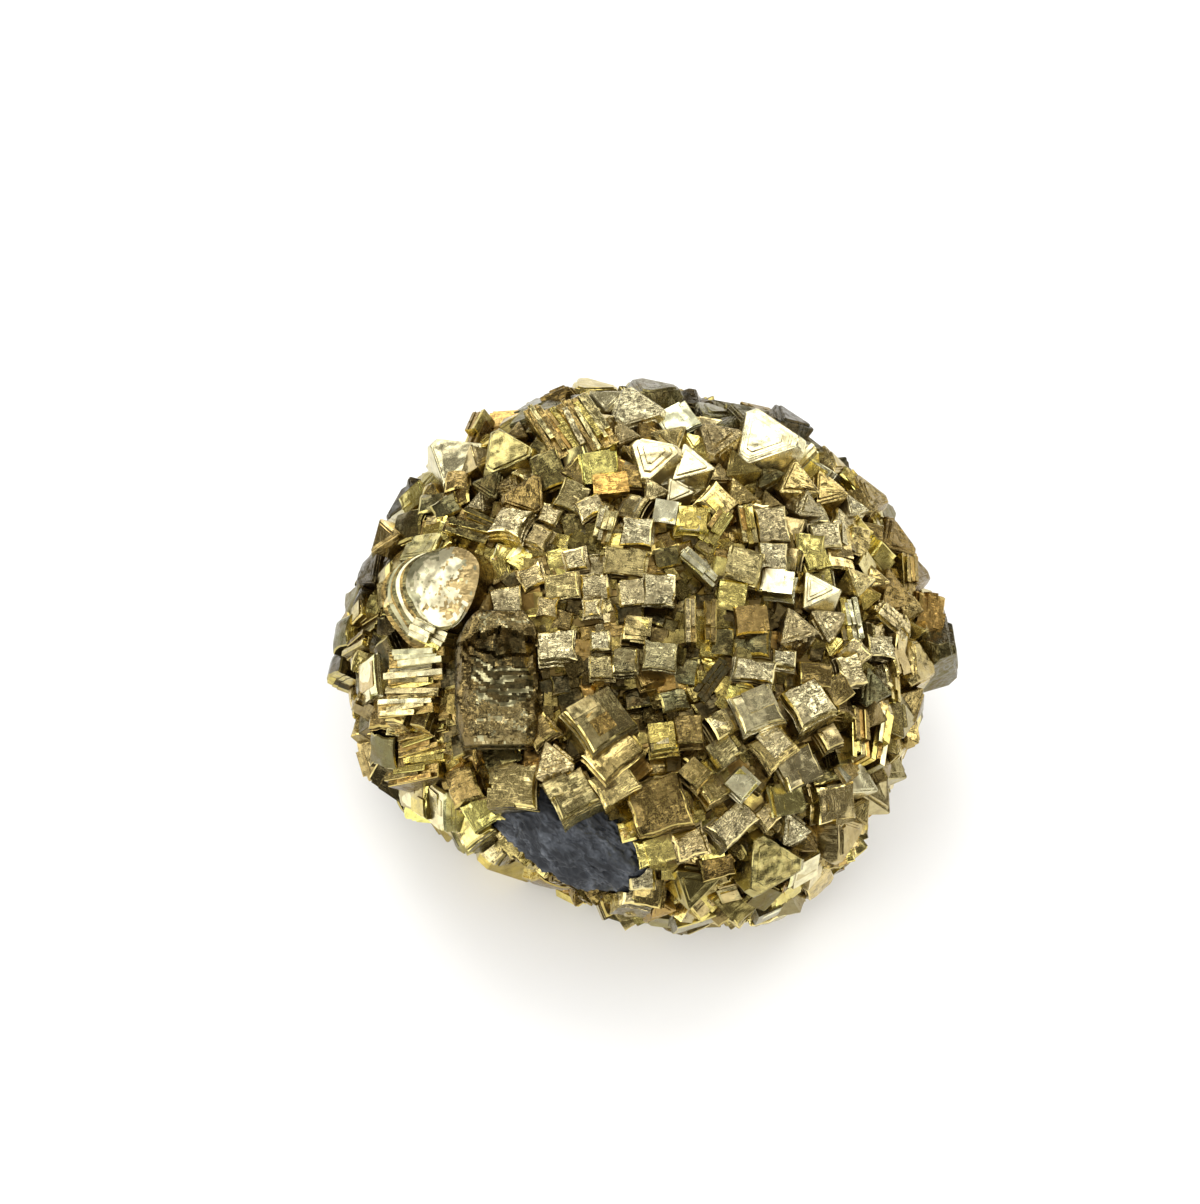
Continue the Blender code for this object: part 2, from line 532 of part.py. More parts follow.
def new_cutter(name, mesh):
    """A shape that joins or cuts another and isn't part of the object itself."""
    made = new_object(name, mesh)
    made.hide_render = True
    made.display_type = "WIRE"
    return made


def new_material(name, colour, roughness, metallic):
    """A plain Principled material."""
    made = bpy.data.materials.new(name)
    made.use_nodes = True
    shader = made.node_tree.nodes["Principled BSDF"]
    shader.inputs["Base Color"].default_value = (*colour, 1)
    shader.inputs["Roughness"].default_value = roughness
    shader.inputs["Metallic"].default_value = metallic
    return made


def add_boolean(target, tool, operation):
    """A Boolean modifier with the exact solver."""
    modifier = target.modifiers.new(tool.name, "BOOLEAN")
    modifier.operation = operation
    modifier.solver = "EXACT"
    modifier.use_self = operation == "UNION"
    modifier.object = tool


def keep_outer_skin(target):
    """Applies the modifiers and drops sealed hollows and crumbs, so that one closed skin is left."""
    graph = bpy.context.evaluated_depsgraph_get()
    data = bpy.data.meshes.new_from_object(target.evaluated_get(graph))
    target.modifiers.clear()
    skin = bmesh.new()
    skin.from_mesh(data)
    bpy.data.meshes.remove(data)
    left, islands = set(skin.verts), []
    while left:
        reached = [left.pop()]
        island = list(reached)
        while reached:
            vert = reached.pop()
            for edge in vert.link_edges:
                other = edge.other_vert(vert)
                if other in left:
                    left.discard(other)
                    reached.append(other)
                    island.append(other)
        islands.append(island)
    largest = max(islands, key=len)
    spare = [vert for island in islands if island is not largest for vert in island]
    bmesh.ops.delete(skin, geom=spare, context="VERTS")
    skin.to_mesh(target.data)
    skin.free()


def build():
    """The crystals and the rock."""
    for old in list(bpy.data.objects):
        bpy.data.objects.remove(old)
    brass = new_material("brassy_crystal", (0.47, 0.38, 0.18), 0.22, 1.0)
    grey = new_material("dark_host_rock", (0.055, 0.06, 0.07), 0.55, 0.0)

    core = core_mesh()
    tree = BVHTree.FromBMesh(core)
    cluster = new_object("crystal_cluster", core, brass)
    underside = bmesh.new()
    bmesh.ops.create_cube(underside, size=UNDERSIDE_CUT)
    bmesh.ops.translate(underside, verts=underside.verts, vec=(0, 0, -UNDERSIDE_CUT / 2))
    add_boolean(cluster, new_cutter("crystal_shapes", crystals_mesh(tree)), "UNION")
    add_boolean(cluster, new_cutter("rock_pocket", rock_mesh(tree, SEAM)), "DIFFERENCE")
    add_boolean(cluster, new_cutter("underside_cut", underside), "DIFFERENCE")
    keep_outer_skin(cluster)
    new_object("host_rock", rock_mesh(tree), grey)


build()
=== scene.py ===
"""Marcasite cluster, as seen and touched: stepped and striated brassy crystals, the small ones between them,
and the dark host rock in its window. Metres, +Z up, in the frame of the solids, which these pieces replace.

The crystals stand where the solids' crystals stand: their places, sizes and turns are worked out again here
from the same driving values, and each one then gets its chamfers, growth steps and ribs.
"""

import json
import math
import random
from typing import NamedTuple

import bmesh
import bpy
import numpy as np
from mathutils import Euler, Matrix, Vector, noise
from mathutils.bvhtree import BVHTree
from mathutils.kdtree import KDTree

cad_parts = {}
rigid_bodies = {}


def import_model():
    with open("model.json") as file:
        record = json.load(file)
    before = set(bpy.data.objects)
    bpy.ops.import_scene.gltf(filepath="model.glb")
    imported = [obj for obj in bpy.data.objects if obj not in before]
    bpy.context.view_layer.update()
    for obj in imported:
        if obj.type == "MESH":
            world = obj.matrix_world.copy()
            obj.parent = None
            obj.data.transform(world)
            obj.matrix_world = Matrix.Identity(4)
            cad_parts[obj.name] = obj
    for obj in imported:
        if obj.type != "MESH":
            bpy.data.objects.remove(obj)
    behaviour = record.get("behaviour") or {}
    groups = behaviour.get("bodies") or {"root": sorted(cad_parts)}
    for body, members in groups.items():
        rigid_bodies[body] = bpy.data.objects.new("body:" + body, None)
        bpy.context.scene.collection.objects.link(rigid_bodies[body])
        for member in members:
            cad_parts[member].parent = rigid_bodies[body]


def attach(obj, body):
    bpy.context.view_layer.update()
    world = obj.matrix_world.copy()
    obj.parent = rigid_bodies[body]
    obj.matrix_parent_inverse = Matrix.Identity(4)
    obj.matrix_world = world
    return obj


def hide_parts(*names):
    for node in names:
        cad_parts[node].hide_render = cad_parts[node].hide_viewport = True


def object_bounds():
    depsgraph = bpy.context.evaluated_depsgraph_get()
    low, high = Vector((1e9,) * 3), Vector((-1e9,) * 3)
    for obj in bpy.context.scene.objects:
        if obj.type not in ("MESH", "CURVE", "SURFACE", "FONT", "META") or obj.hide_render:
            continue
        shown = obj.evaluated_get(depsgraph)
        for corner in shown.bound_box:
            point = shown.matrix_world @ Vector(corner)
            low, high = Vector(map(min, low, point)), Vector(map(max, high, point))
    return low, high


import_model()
SOLIDS_BOX = [list(corner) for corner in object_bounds()]

MM = 0.001

# ---------------------------------------------------------------- driving values shared with the solids

# The ball that the crystals stand on.
CORE_RADII = Vector((27.2, 26.8, 18.8)) * MM
CORE_MIDDLE = Vector((-0.08, -1.07, 16.8)) * MM
CORE_SUBDIVISIONS = 3
CORE_ROUGHNESS = 0.5 * MM
CORE_GRAIN = 2.5
# Swells and hollows of the core: angle round the show side's edge, turn out of that edge towards the eye
# (both in degrees), reach in degrees, and height in millimetres.
CORE_SWELLS = (
    (12, 0, 14, 1.8),
    (340, 0, 14, -1.9),
    (304, 0, 20, 2.4),
    (240, 12, 22, -3.2),
    (233, 0, 10, -1.8),
    (213, 0, 10, 1.4),
    (178, 0, 16, 2.6),
    (140, 0, 18, 1.8),
    (98, 0, 26, 2.8),
    (51, 5, 14, 2.9),
)

# The show side: its tilt back from facing the viewer's feet, and how far off the eye is.
SHOW_RISE = math.radians(58)
EYE_DISTANCE = 280 * MM
SHOW_OUT = Vector((0, -math.cos(SHOW_RISE), math.sin(SHOW_RISE)))
SHOW_UP = Vector((0, math.sin(SHOW_RISE), math.cos(SHOW_RISE)))
SHOW_RIGHT = Vector((1, 0, 0))
SHOW_MIDDLE = CORE_MIDDLE + Vector((0.1, -0.3, 2.0)) * MM
EYE = SHOW_MIDDLE + SHOW_OUT * EYE_DISTANCE
# Crystals that grew parallel to each other, so that their faces flash together.
SKY = "sky"
SKY_WAY = Vector((-0.12, -0.08, 0.99)).normalized()
SIDE = "side"
SIDE_WAY = (SHOW_OUT * 0.88 - SHOW_RIGHT * 0.45 + SHOW_UP * 0.12).normalized()
FLANK = "flank"
FLANK_WAY = (SHOW_OUT * 0.96 + SHOW_RIGHT * 0.275 - SHOW_UP * 0.05).normalized()
PARALLEL_WAYS = {SKY: SKY_WAY, SIDE: SIDE_WAY, FLANK: FLANK_WAY}

# The dark host rock: middle (right, up, in), half sizes, and slant of its long axis on the show side. The
# window is the oval that no crystal stands in.
ROCK_MIDDLE = (-6.6, -19.0)
ROCK_DEPTH = 3.6 * MM
ROCK_RADII = Vector((9.4, 6.2, 5.4)) * MM
ROCK_SLANT = math.radians(-20)
ROCK_ROUGHNESS = 0.9 * MM
ROCK_GRAIN = Vector((1.6, 3.2, 2.2))
WINDOW_MIDDLE = (-6.6, -19.9)
WINDOW_RADII = (8.0, 4.2)

UNDERSIDE_CUT = 100 * MM
SEED = 11
# How deep the crystals are rooted, and how far their lowest ledge stays above that.
ROOT = 2.6 * MM
FOOT = 0.1 * MM
# An upright closer than this to the show side's right takes its turn from another direction.
TOO_STEEP = 0.2

# Crystals set one by one: form, right, up, width, length, turn (degrees), rise, facing, look.
# Turn is about the crystal's own upright; rise is how far it stands out of the core; facing turns its upright
# from square to the core (0) to square to the show side (1), or sets it with the parallel ones.
SET_CRYSTALS = (
    # Left: the big terraced plate, the dark barrel and the ladder of ribbed slabs.
    ("shield", -18.4, 5.9, 7.9, 7.8, 0, 3.5, SIDE, "white"),
    ("barrel", -14.2, -3.2, 8.2, 12.8, 2, 4.0, 1.1, "dark"),
    ("ladder", -22.0, -3.6, 6.4, 6.2, 4, 2.6, SIDE, "white"),
    ("ladder", -21.2, -10.6, 6.6, 5.6, 3, 2.0, 0.2, "brown"),
    ("ladder", -27.0, 1.4, 4.2, 4.8, -8, 1.6, 0.1, "dark"),
    ("block", -27.6, -3.6, 3.2, 3.2, -30, 1.0, 0.2, "dark"),
    ("block", -26.4, -7.2, 2.6, 2.6, 20, 1.0, 0.2, "olive"),
    ("block", -24.8, 1.8, 3.4, 2.2, -20, 1.4, 0.3, "hollow"),
    ("slab", -20.4, 1.2, 2.0, 4.2, 65, 2.8, SIDE, "white"),
    ("point", -26.6, 7.0, 3.4, 3.4, 60, 1.2, 0.0, "hollow"),
    # Upper left.
    ("point", -26.0, 11.4, 2.4, 2.4, 10, 1.4, 0.2, "olive"),
    ("point", -24.2, 12.6, 3.6, 3.6, 40, 1.6, 0.2, "olive"),
    ("block", -23.2, 14.8, 3.0, 2.6, 5, 1.9, 0.3, "gold"),
    ("point", -22.0, 17.2, 3.2, 3.2, 15, 1.4, 0.2, "olive"),
    ("point", -19.2, 18.4, 5.8, 5.8, 35, 2.8, SKY, "white"),
    ("slab", -16.0, 20.4, 1.6, 5.4, -15, 3.0, 0.3, "brown"),
    ("point", -13.6, 18.4, 5.2, 5.2, 0, 3.1, 0.55, "olive"),
    ("point", -15.2, 15.8, 2.8, 2.8, 60, 2.2, 0.5, "dark"),
    ("block", -9.6, 17.4, 2.8, 3.8, 12, 2.6, 0.4, "dark"),
    ("point", -14.2, 24.6, 3.4, 3.4, 20, 1.7, 0.1, "olive"),
    ("ladder", -16.2, 11.6, 6.0, 3.2, -24, 2.0, 0.5, "dark"),
    ("block", -19.6, 13.6, 3.0, 2.4, 20, 1.8, 0.4, "dark"),
    ("block", -20.6, 11.4, 2.6, 2.4, -10, 1.6, 0.4, "gold"),
    ("ladder", -7.4, 21.2, 7.4, 6.2, -60, 3.0, 0.45, "gold"),
    ("point", -12.2, 23.2, 2.8, 2.8, 5, 2.0, 0.3, "dark"),
    # Top edge, left to right.
    ("point", -10.4, 26.4, 4.2, 4.2, 0, 1.6, 0.0, "dark"),
    ("point", -7.6, 26.8, 3.8, 3.8, 30, 1.7, 0.0, "dark"),
    ("point", -4.6, 26.0, 3.2, 3.2, 50, 1.5, 0.2, "white"),
    ("point", 0.6, 26.6, 5.2, 5.2, 30, 2.4, 0.1, "dark"),
    ("point", -1.2, 23.4, 5.0, 5.0, 5, 2.2, 0.35, "silver"),
    ("block", 3.2, 22.4, 3.4, 3.2, 30, 2.4, SKY, "white"),
    ("point", 6.6, 24.4, 4.4, 4.4, 15, 1.6, 0.2, "dark"),
    ("point", 10.4, 24.4, 4.2, 4.2, 40, 2.5, 0.0, "dark"),
    ("point", 13.4, 23.4, 4.2, 4.2, 10, 3.2, 0.1, "hollow"),
    ("point", 11.9, 20.2, 6.6, 6.6, 5, 3.4, SKY, "white"),
    ("point", 16.2, 22.2, 4.4, 4.4, 20, 1.8, 0.1, "dark"),
    ("point", 18.8, 20.2, 3.6, 3.6, 45, 1.8, 0.15, "brass"),
    ("slab", 15.4, 18.8, 1.6, 4.4, -42, 2.3, SKY, "white"),
    # Upper middle: the row of bright triangular faces.
    ("point", 0.8, 18.3, 4.8, 4.8, 30, 2.8, SKY, "white"),
    ("point", 4.6, 17.8, 3.8, 3.8, 0, 2.6, SKY, "white"),
    ("point", 2.2, 20.4, 3.2, 3.2, 50, 2.2, 0.4, "brass"),
    ("point", 7.2, 20.4, 4.4, 4.4, 20, 2.2, 0.4, "silver"),
    ("point", 3.2, 15.4, 2.6, 2.6, 10, 1.9, SKY, "white"),
    ("block", -3.6, 16.4, 3.2, 2.2, 0, 2.0, 0.5, "orange"),
    ("point", 14.3, 16.6, 3.8, 3.8, 0, 2.4, 0.45, "brass"),
    ("point", 12.0, 17.4, 2.8, 2.8, 25, 1.4, 0.4, "dark"),
    ("point", 17.4, 16.0, 3.4, 3.4, 15, 2.0, 0.4, "brass"),
    ("point", 21.0, 15.2, 4.6, 4.6, 35, 2.3, 0.3, "brown"),
    ("slab", 23.6, 14.8, 1.6, 3.4, 5, 1.9, 0.3, "gold"),
    ("block", 20.4, 17.2, 3.6, 1.8, -8, 1.6, 0.2, "gold"),
    # Right edge.
    ("point", 23.6, 11.0, 4.8, 4.8, 10, 2.4, 0.3, "brown"),
    ("point", 26.6, 9.2, 5.0, 5.0, 50, 1.9, 0.1, "brown"),
    ("slab", 25.2, 8.0, 1.6, 4.8, 4, 2.2, 0.3, "brown"),
    ("point", 26.4, 13.0, 2.8, 2.8, 30, 1.0, 0.0, "brown"),
    ("point", 27.4, 1.0, 7.4, 7.4, 25, 3.4, 0.05, "dark"),
    # Middle: rows of square faces.
    ("block", -8.4, 0.0, 3.6, 3.0, 2, 2.3, 0.8, "silver"),
    ("block", -4.1, 0.9, 1.9, 2.0, 0, 2.0, 0.8, "silver"),
    ("block", -4.0, -1.7, 2.2, 2.2, -3, 1.7, 0.8, "dull silver"),
    ("block", -1.6, -1.2, 2.3, 2.4, 4, 1.9, 0.8, "dull silver"),
    ("block", 1.7, -0.5, 3.1, 2.7, -3, 2.4, 0.8, "dull silver"),
    ("block", -9.6, -3.8, 2.2, 2.0, 8, 0.7, 0.6, "hollow"),
    ("block", -0.5, -4.6, 2.6, 2.2, 20, 0.6, 0.6, "hollow"),
    ("block", 3.2, -4.7, 2.8, 2.2, 12, 0.7, 0.6, "dark"),
    ("slab", 6.9, -2.6, 1.6, 4.4, -38, 1.1, 0.6, "hollow"),
    ("block", -9.4, 4.0, 2.0, 1.9, -5, 1.8, 0.7, "silver"),
    ("block", -5.0, 4.1, 1.5, 1.5, 4, 1.9, 0.7, "silver"),
    ("block", -8.0, 6.2, 3.0, 2.4, 6, 1.8, 0.7, "brass"),
    ("block", -1.3, 5.7, 2.2, 2.3, 4, 2.1, 0.8, "brass"),
    ("block", 1.4, 6.2, 2.9, 3.0, 0, 2.5, 0.8, "silver"),
    ("block", -11.0, 7.0, 2.4, 2.4, 28, 1.9, 0.7, "silver"),
    ("block", -6.8, 9.0, 2.0, 2.0, 8, 2.1, 0.7, "silver"),
    ("block", -2.0, 8.8, 3.9, 2.7, -2, 2.1, 0.8, "brass"),
    ("block", 2.3, 9.4, 2.4, 2.0, 12, 1.7, 0.7, "dark"),
    ("slab", 5.2, 8.4, 1.3, 4.4, 48, 2.4, 0.7, "white"),
    ("block", -9.3, 13.2, 2.2, 2.0, -20, 2.0, 0.6, "silver"),
    ("block", -10.3, 11.0, 2.1, 2.1, -24, 1.9, 0.6, "silver"),
    ("block", -5.6, 14.0, 2.6, 2.0, 30, 2.0, 0.6, "silver"),
    ("slab", -4.0, 12.2, 1.8, 3.6, -12, 2.1, 0.6, "brass"),
    ("slab", 4.6, 3.0, 1.0, 4.6, 2, 2.1, 0.7, "silver"),
    ("slab", 6.6, 3.0, 1.1, 4.2, -4, 2.0, 0.7, "brown"),
    # Upper right: tall rough columns and squares.
    ("block", 12.3, 12.6, 3.1, 3.6, 5, 2.7, 0.65, "silver"),
    ("block", 12.5, 9.2, 2.7, 2.8, -4, 2.3, 0.65, "silver"),
    ("slab", 9.9, 12.4, 1.5, 4.4, 3, 2.2, 0.6, "gold"),
    ("block", 9.7, 8.5, 3.1, 3.2, -8, 2.6, 0.7, "brass"),
    ("block", 4.6, 12.8, 3.2, 2.8, -6, 2.2, 0.6, "gold"),
    ("slab", 6.7, 12.2, 1.7, 4.0, -30, 2.3, 0.6, "gold"),
    ("point", 8.8, 15.4, 2.8, 2.8, 15, 2.0, 0.5, "brass"),
    ("block", 17.4, 11.8, 3.0, 2.6, 10, 2.2, 0.5, "silver"),
    ("block", 20.5, 11.2, 2.0, 3.0, -4, 2.1, 0.4, "brass"),
    ("block", 16.9, 9.0, 2.4, 1.8, 12, 1.9, 0.5, "gold"),
    ("point", 20.6, 7.0, 2.8, 2.8, 30, 2.0, 0.4, "brass"),
    ("block", 13.3, 6.5, 3.2, 2.4, -8, 2.3, SKY, "white"),
    ("point", 17.4, 5.6, 3.6, 3.6, 12, 2.5, SKY, "white"),
    ("point", 17.8, 3.0, 3.0, 3.0, 40, 2.1, 0.5, "silver"),
    ("slab", 20.1, 3.2, 2.1, 4.6, 2, 2.3, 0.45, "white"),
    ("slab", 23.6, 3.6, 2.1, 4.6, 65, 2.3, 0.3, "silver"),
    ("block", 23.0, 0.9, 2.8, 2.4, 4, 1.8, 0.3, "silver"),
    ("block", 10.6, 3.4, 3.0, 2.8, 6, 1.5, 0.7, "orange"),
    # Right of the middle.
    ("point", 14.9, 2.0, 3.4, 3.4, 0, 2.5, 0.6, "silver"),
    ("block", 10.9, -1.7, 3.9, 2.1, -10, 2.5, 0.7, "silver"),
    ("block", 13.8, -0.6, 2.2, 1.6, -4, 2.0, 0.6, "silver"),
    ("block", 16.8, -1.9, 3.4, 2.4, 6, 1.8, 0.5, "brown"),
    ("block", 20.0, -1.6, 2.6, 3.2, 14, 2.3, 0.4, "silver"),
    ("point", 22.0, -3.2, 3.4, 3.4, 20, 1.9, 0.3, "dark"),
    ("slab", 24.0, -3.0, 1.5, 3.2, 4, 1.8, 0.2, "brass"),
    # Lower right: squares set on their corners.
    ("block", 11.4, -5.9, 3.9, 3.7, 32, 2.9, 0.55, "smooth silver"),
    ("block", 16.0, -5.6, 4.0, 3.9, 38, 3.0, 0.5, "silver"),
    ("block", 13.1, -9.3, 3.5, 3.3, 36, 2.7, 0.55, "brass"),
    ("block", 15.2, -11.3, 3.5, 3.3, 34, 3.0, 0.5, "smooth silver"),
    ("block", 18.3, -8.6, 2.0, 2.0, 38, 2.0, 0.4, "smooth silver"),
    ("slab", 20.6, -8.0, 1.9, 5.6, -12, 2.5, 0.35, "brown"),
    ("slab", 22.5, -8.4, 1.6, 6.0, -18, 2.9, 0.3, "gold"),
    ("block", 24.6, -9.4, 2.6, 3.4, 0, 1.8, FLANK, "white"),
    ("block", 18.4, -14.2, 4.2, 3.6, 12, 2.4, 0.3, "tan"),
    ("point", 18.9, -17.2, 4.8, 4.8, 20, 2.3, 0.2, "tan"),
    ("block", 23.8, -13.4, 2.8, 3.2, 8, 2.1, FLANK, "white"),
    ("block", 14.0, -14.2, 3.0, 2.8, 20, 2.0, 0.4, "olive"),
    ("block", 12.4, -15.9, 2.1, 2.1, 44, 2.0, 0.45, "silver"),
    ("point", 14.8, -17.2, 2.8, 2.8, 10, 1.8, 0.4, "silver"),
    ("point", 12.3, -20.2, 5.8, 5.8, 15, 2.9, 0.35, "olive"),
    ("block", 19.6, -19.4, 3.0, 2.0, 14, 1.7, FLANK, "gold"),
    ("block", 17.0, -21.8, 3.2, 2.0, 16, 1.6, FLANK, "white"),
    # Lower middle: large smooth squares on their corners, round the rock.
    ("block", -4.4, -7.8, 5.0, 4.8, 40, 3.5, 0.6, "bronze"),
    ("block", -2.6, -11.2, 4.7, 3.4, 38, 3.4, 0.5, "brass"),
    ("block", -2.5, -13.5, 3.8, 3.0, 34, 3.2, 0.45, "brass"),
    ("block", -6.4, -14.9, 3.9, 3.8, 30, 3.4, 0.4, "brass"),
    ("point", -8.4, -11.9, 3.4, 3.4, 10, 2.8, 0.5, "silver"),
    ("block", -12.0, -13.8, 4.6, 4.4, -6, 2.6, 0.4, "brass"),
    ("block", -16.8, -13.6, 3.4, 3.8, 24, 1.9, 0.3, "brown"),
    ("block", -9.8, -8.0, 2.6, 2.6, 42, 1.8, 0.5, "brown"),
    ("block", -13.6, -11.0, 3.0, 2.2, 8, 1.9, 0.4, "olive"),
    ("block", 2.0, -15.2, 5.0, 4.8, 17, 3.0, 0.5, "brown"),
    ("block", 5.5, -12.4, 2.2, 2.2, 46, 2.2, 0.5, "brass"),
    ("block", 2.1, -8.9, 2.4, 2.6, 8, 2.0, 0.6, "gold"),
    ("block", 4.7, -8.0, 2.5, 2.7, 12, 1.9, 0.6, "brown"),
    ("block", 7.6, -7.4, 2.6, 2.4, 24, 1.9, 0.6, "brass"),
    ("block", 8.0, -9.8, 2.5, 2.4, 38, 1.8, 0.55, "brass"),
    ("block", 9.8, -13.0, 2.3, 2.3, 46, 2.3, 0.5, "white"),
    ("block", 7.2, -13.8, 2.4, 2.0, 30, 1.8, 0.5, "brass"),
    ("block", 8.9, -17.0, 4.2, 2.8, 40, 2.6, 0.4, "silver"),
    ("block", 5.0, -18.6, 2.9, 2.7, 22, 2.5, 0.35, "silver"),
    ("block", 1.4, -19.7, 3.0, 2.4, 18, 2.4, 0.3, "gold"),
    ("block", 0.4, -22.0, 2.4, 2.4, 4, 1.7, 0.25, "silver"),
    ("block", 7.6, -20.8, 3.4, 2.2, 14, 1.8, 0.3, "brown"),
    ("point", 5.2, -22.2, 4.0, 4.0, 30, 2.2, 0.2, "olive"),
    # Bottom edge.
    ("block", 5.6, -25.2, 4.8, 3.6, 2, 1.8, 0.0, "olive"),
    ("block", 9.0, -25.2, 2.2, 3.6, -4, 2.0, 0.0, "brass"),
    ("block", 11.8, -24.8, 3.4, 3.0, 6, 1.6, 0.0, "white"),
    ("block", 14.2, -22.6, 3.6, 2.4, 18, 1.5, 0.1, "gold"),
    ("point", 1.6, -25.0, 2.6, 2.6, 20, 1.1, 0.0, "brown"),
    ("point", -2.8, -25.6, 2.6, 2.6, 50, 0.9, 0.0, "brown"),
    ("point", -5.2, -25.2, 2.2, 2.2, 10, 0.9, 0.0, "brown"),
    ("block", -9.2, -23.0, 3.0, 1.8, -38, 0.7, 0.0, "brown"),
    ("block", -12.4, -21.4, 3.0, 1.8, -34, 0.7, 0.0, "brown"),
    ("block", -15.6, -19.6, 3.0, 1.8, -30, 0.9, 0.0, "brown"),
    ("point", -19.4, -16.8, 4.2, 4.2, 25, 1.5, 0.1, "olive"),
    ("block", -23.2, -14.6, 3.8, 2.6, -16, 1.6, 0.1, "dark"),
)

# Crystals between and behind those, in millimetres wide: on the show side, round its edge, and on the back.
# No two stand closer than the spacing, a share of their widths added together. Rise is a share of the width,
# and lean is how far the upright may stray.
FILL_TRIES = 1500
FILL_SHOW_WIDTH = (2.4, 3.2)
FILL_EDGE_WIDTH = (2.8, 3.6)
FILL_BACK_WIDTH = (5.0, 7.2)
FILL_SPACING = 0.52
FILL_RISE = (0.42, 0.7)
FILL_LEAN = 0.16
EDGE_LEAN = 0.32
# How far the surface looks towards the eye where the show side ends and where the back begins.
EDGE = 0.02
RIM = 0.3
BACK = -0.42
# Where the show side's own kinds of crystal change: eight-sided ones at the top and right, flat-set ones in
# the middle and left, and ones set on a corner at the bottom.
POINTS_ABOVE = 13
POINTS_RIGHT_OF = 19
SLABS_LEFT_OF = -17
CORNERS_BELOW = -4
# Those kinds: form, how much wider than the others, turn, and facing. Then the share of points on the back.
FILL_POINTS = ("point", 0.7, (0, 120), 0.3)
FILL_LEFT = ("block", 0.3, (-12, 12), 0.2)
FILL_CORNERS = ("block", 0, (25, 55), 0.4)
FILL_MIDDLE = ("block", 0, (-12, 12), 0.6)
BACK_POINTS = 0.35
# Directions this far apart round a spiral are spread evenly.
GOLDEN_ANGLE = math.pi * (3 - math.sqrt(5))

# Points wider than this have their corners cut further back.
BLUNT_WIDTH = 4.3 * MM
POINT_CUT = 0.16
SMALL_POINT_CUT = 0.05
# The rungs of a ladder: how far apart they are, and how much higher or lower than the last each is.
RIB_PITCH = 1.45 * MM
RIB_STEP = 0.45 * MM
# Which way the first corner of the shield points.
SHIELD_CORNER = math.radians(38)

# ---------------------------------------------------------------- driving values of the fine surface

# Looks: metal colour, polish (0 glittering with facets to 1 mirror), how strongly the faces are ribbed, and
# how satin (blurred) they are.
LOOKS = {
    # Partly painted highlight: white, and plate below, are pale metal for faces that catch the light.
    "white": ((0.88, 0.80, 0.48), 0.8, 0.2, 0.1),
    "silver": ((0.67, 0.57, 0.305), 0.25, 0.3, 0.0),
    "dull silver": ((0.47, 0.40, 0.19), 0.25, 0.4, 0.0),
    "smooth silver": ((0.58, 0.50, 0.27), 0.7, 0.2, 0.06),
    "tan": ((0.62, 0.50, 0.23), 0.6, 0.4, 0.0),
    "brass": ((0.59, 0.48, 0.20), 0.5, 0.3, 0.0),
    "bronze": ((0.26, 0.21, 0.09), 0.6, 0.3, 0.04),
    "gold": ((0.90, 0.74, 0.22), 0.6, 0.4, 0.0),
    "orange": ((0.60, 0.39, 0.12), 0.45, 0.4, 0.05),
    "brown": ((0.34, 0.245, 0.085), 0.42, 0.6, 0.0),
    "olive": ((0.46, 0.39, 0.145), 0.8, 0.2, 0.06),
    # Painted shade: dark, and near-black hollow, stand for crystals in shade or mirroring the dim room.
    "dark": ((0.185, 0.165, 0.07), 0.44, 0.5, 0.0),
    "hollow": ((0.065, 0.056, 0.027), 0.44, 0.3, 0.0),
    "streaked": ((0.20, 0.155, 0.065), 0.5, 1.0, 0.0),
    "earthy": ((0.31, 0.255, 0.12), 0.24, 0.5, 0.0),
    "plate": ((0.90, 0.83, 0.54), 0.7, 0.0, 0.2),
    "plate edge": ((0.56, 0.52, 0.29), 0.6, 0.3, 0.12),
    "stain": ((0.76, 0.56, 0.24), 0.4, 0.1, 0.15),
}
# How far the uprights of the crystals tip up the show side, by how high up it they are (millimetres).
TIPS = ((-4.0, 0.38), (4.0, 0.2), (13.0, 0.1))

# How the looks are shared out among the crystals that fill gaps, by where they are.
TOP_LOOKS = ("dark", "olive", "olive", "brass", "tan", "white", "gold", "silver", "brown")
MIDDLE_LOOKS = ("silver", "silver", "brass", "brass", "tan", "gold", "brown")
BOTTOM_LOOKS = ("brass", "silver", "tan", "olive", "gold", "brown", "brass")
LEFT_LOOKS = ("olive", "brown", "dark", "tan", "gold", "dark", "white")
RIGHT_LOOKS = ("brown", "orange", "dark", "brass", "brown")
# Round the rim mostly dark and hollow: painted shade.
RIM_LOOKS = ("dark", "hollow", "olive", "hollow", "dark")
BACK_LOOKS = ("brass", "olive", "silver", "tan", "brown", "brass", "dark", "gold")

CHAMFER = 0.08 * MM
FINE_CHAMFER = CHAMFER * 0.6


class Texture(NamedTuple):
    """How faces are broken up: whether plates of growth lie on them, those plates' size and crowding, stray
    lean and bow of the face in degrees, the depth of its pits, and how far its sides are drawn in between the
    corners (a share of half the width)."""
    plates: bool
    cell: float
    crowding: float
    lean: float
    bow: float
    pitted: float
    pinch: float


ROUGH = Texture(False, 0.72 * MM, 1.6, 6.0, 15.0, 0.16 * MM, 0.07)
MIDDLING = Texture(True, 1.7 * MM, 0.8, 3.5, 8.0, 0.07 * MM, 0.07)
SMOOTH = Texture(True, 2.4 * MM, 1.2, 1.6, 4.0, 0.04 * MM, 0.05)
# Looks less polished than the first are rough, and those more polished than the second are smooth.
ROUGH_BELOW = 0.45
SMOOTH_ABOVE = 0.7
# Square crystals: the bevel of the top, its grid and the most cells of that along a side, how much coarser
# it is on the back, and the depth and the reach of the ledges on the sides (millimetres).
BEVEL = (0.1 * MM, 0.22 * MM)
GRID = 0.66 * MM
MOST_CELLS = 8
BACK_COARSENESS = 2.4
LEDGE_DEPTH = (0.25, 1.5)
LEDGE_STEP = (0.04, 0.14)
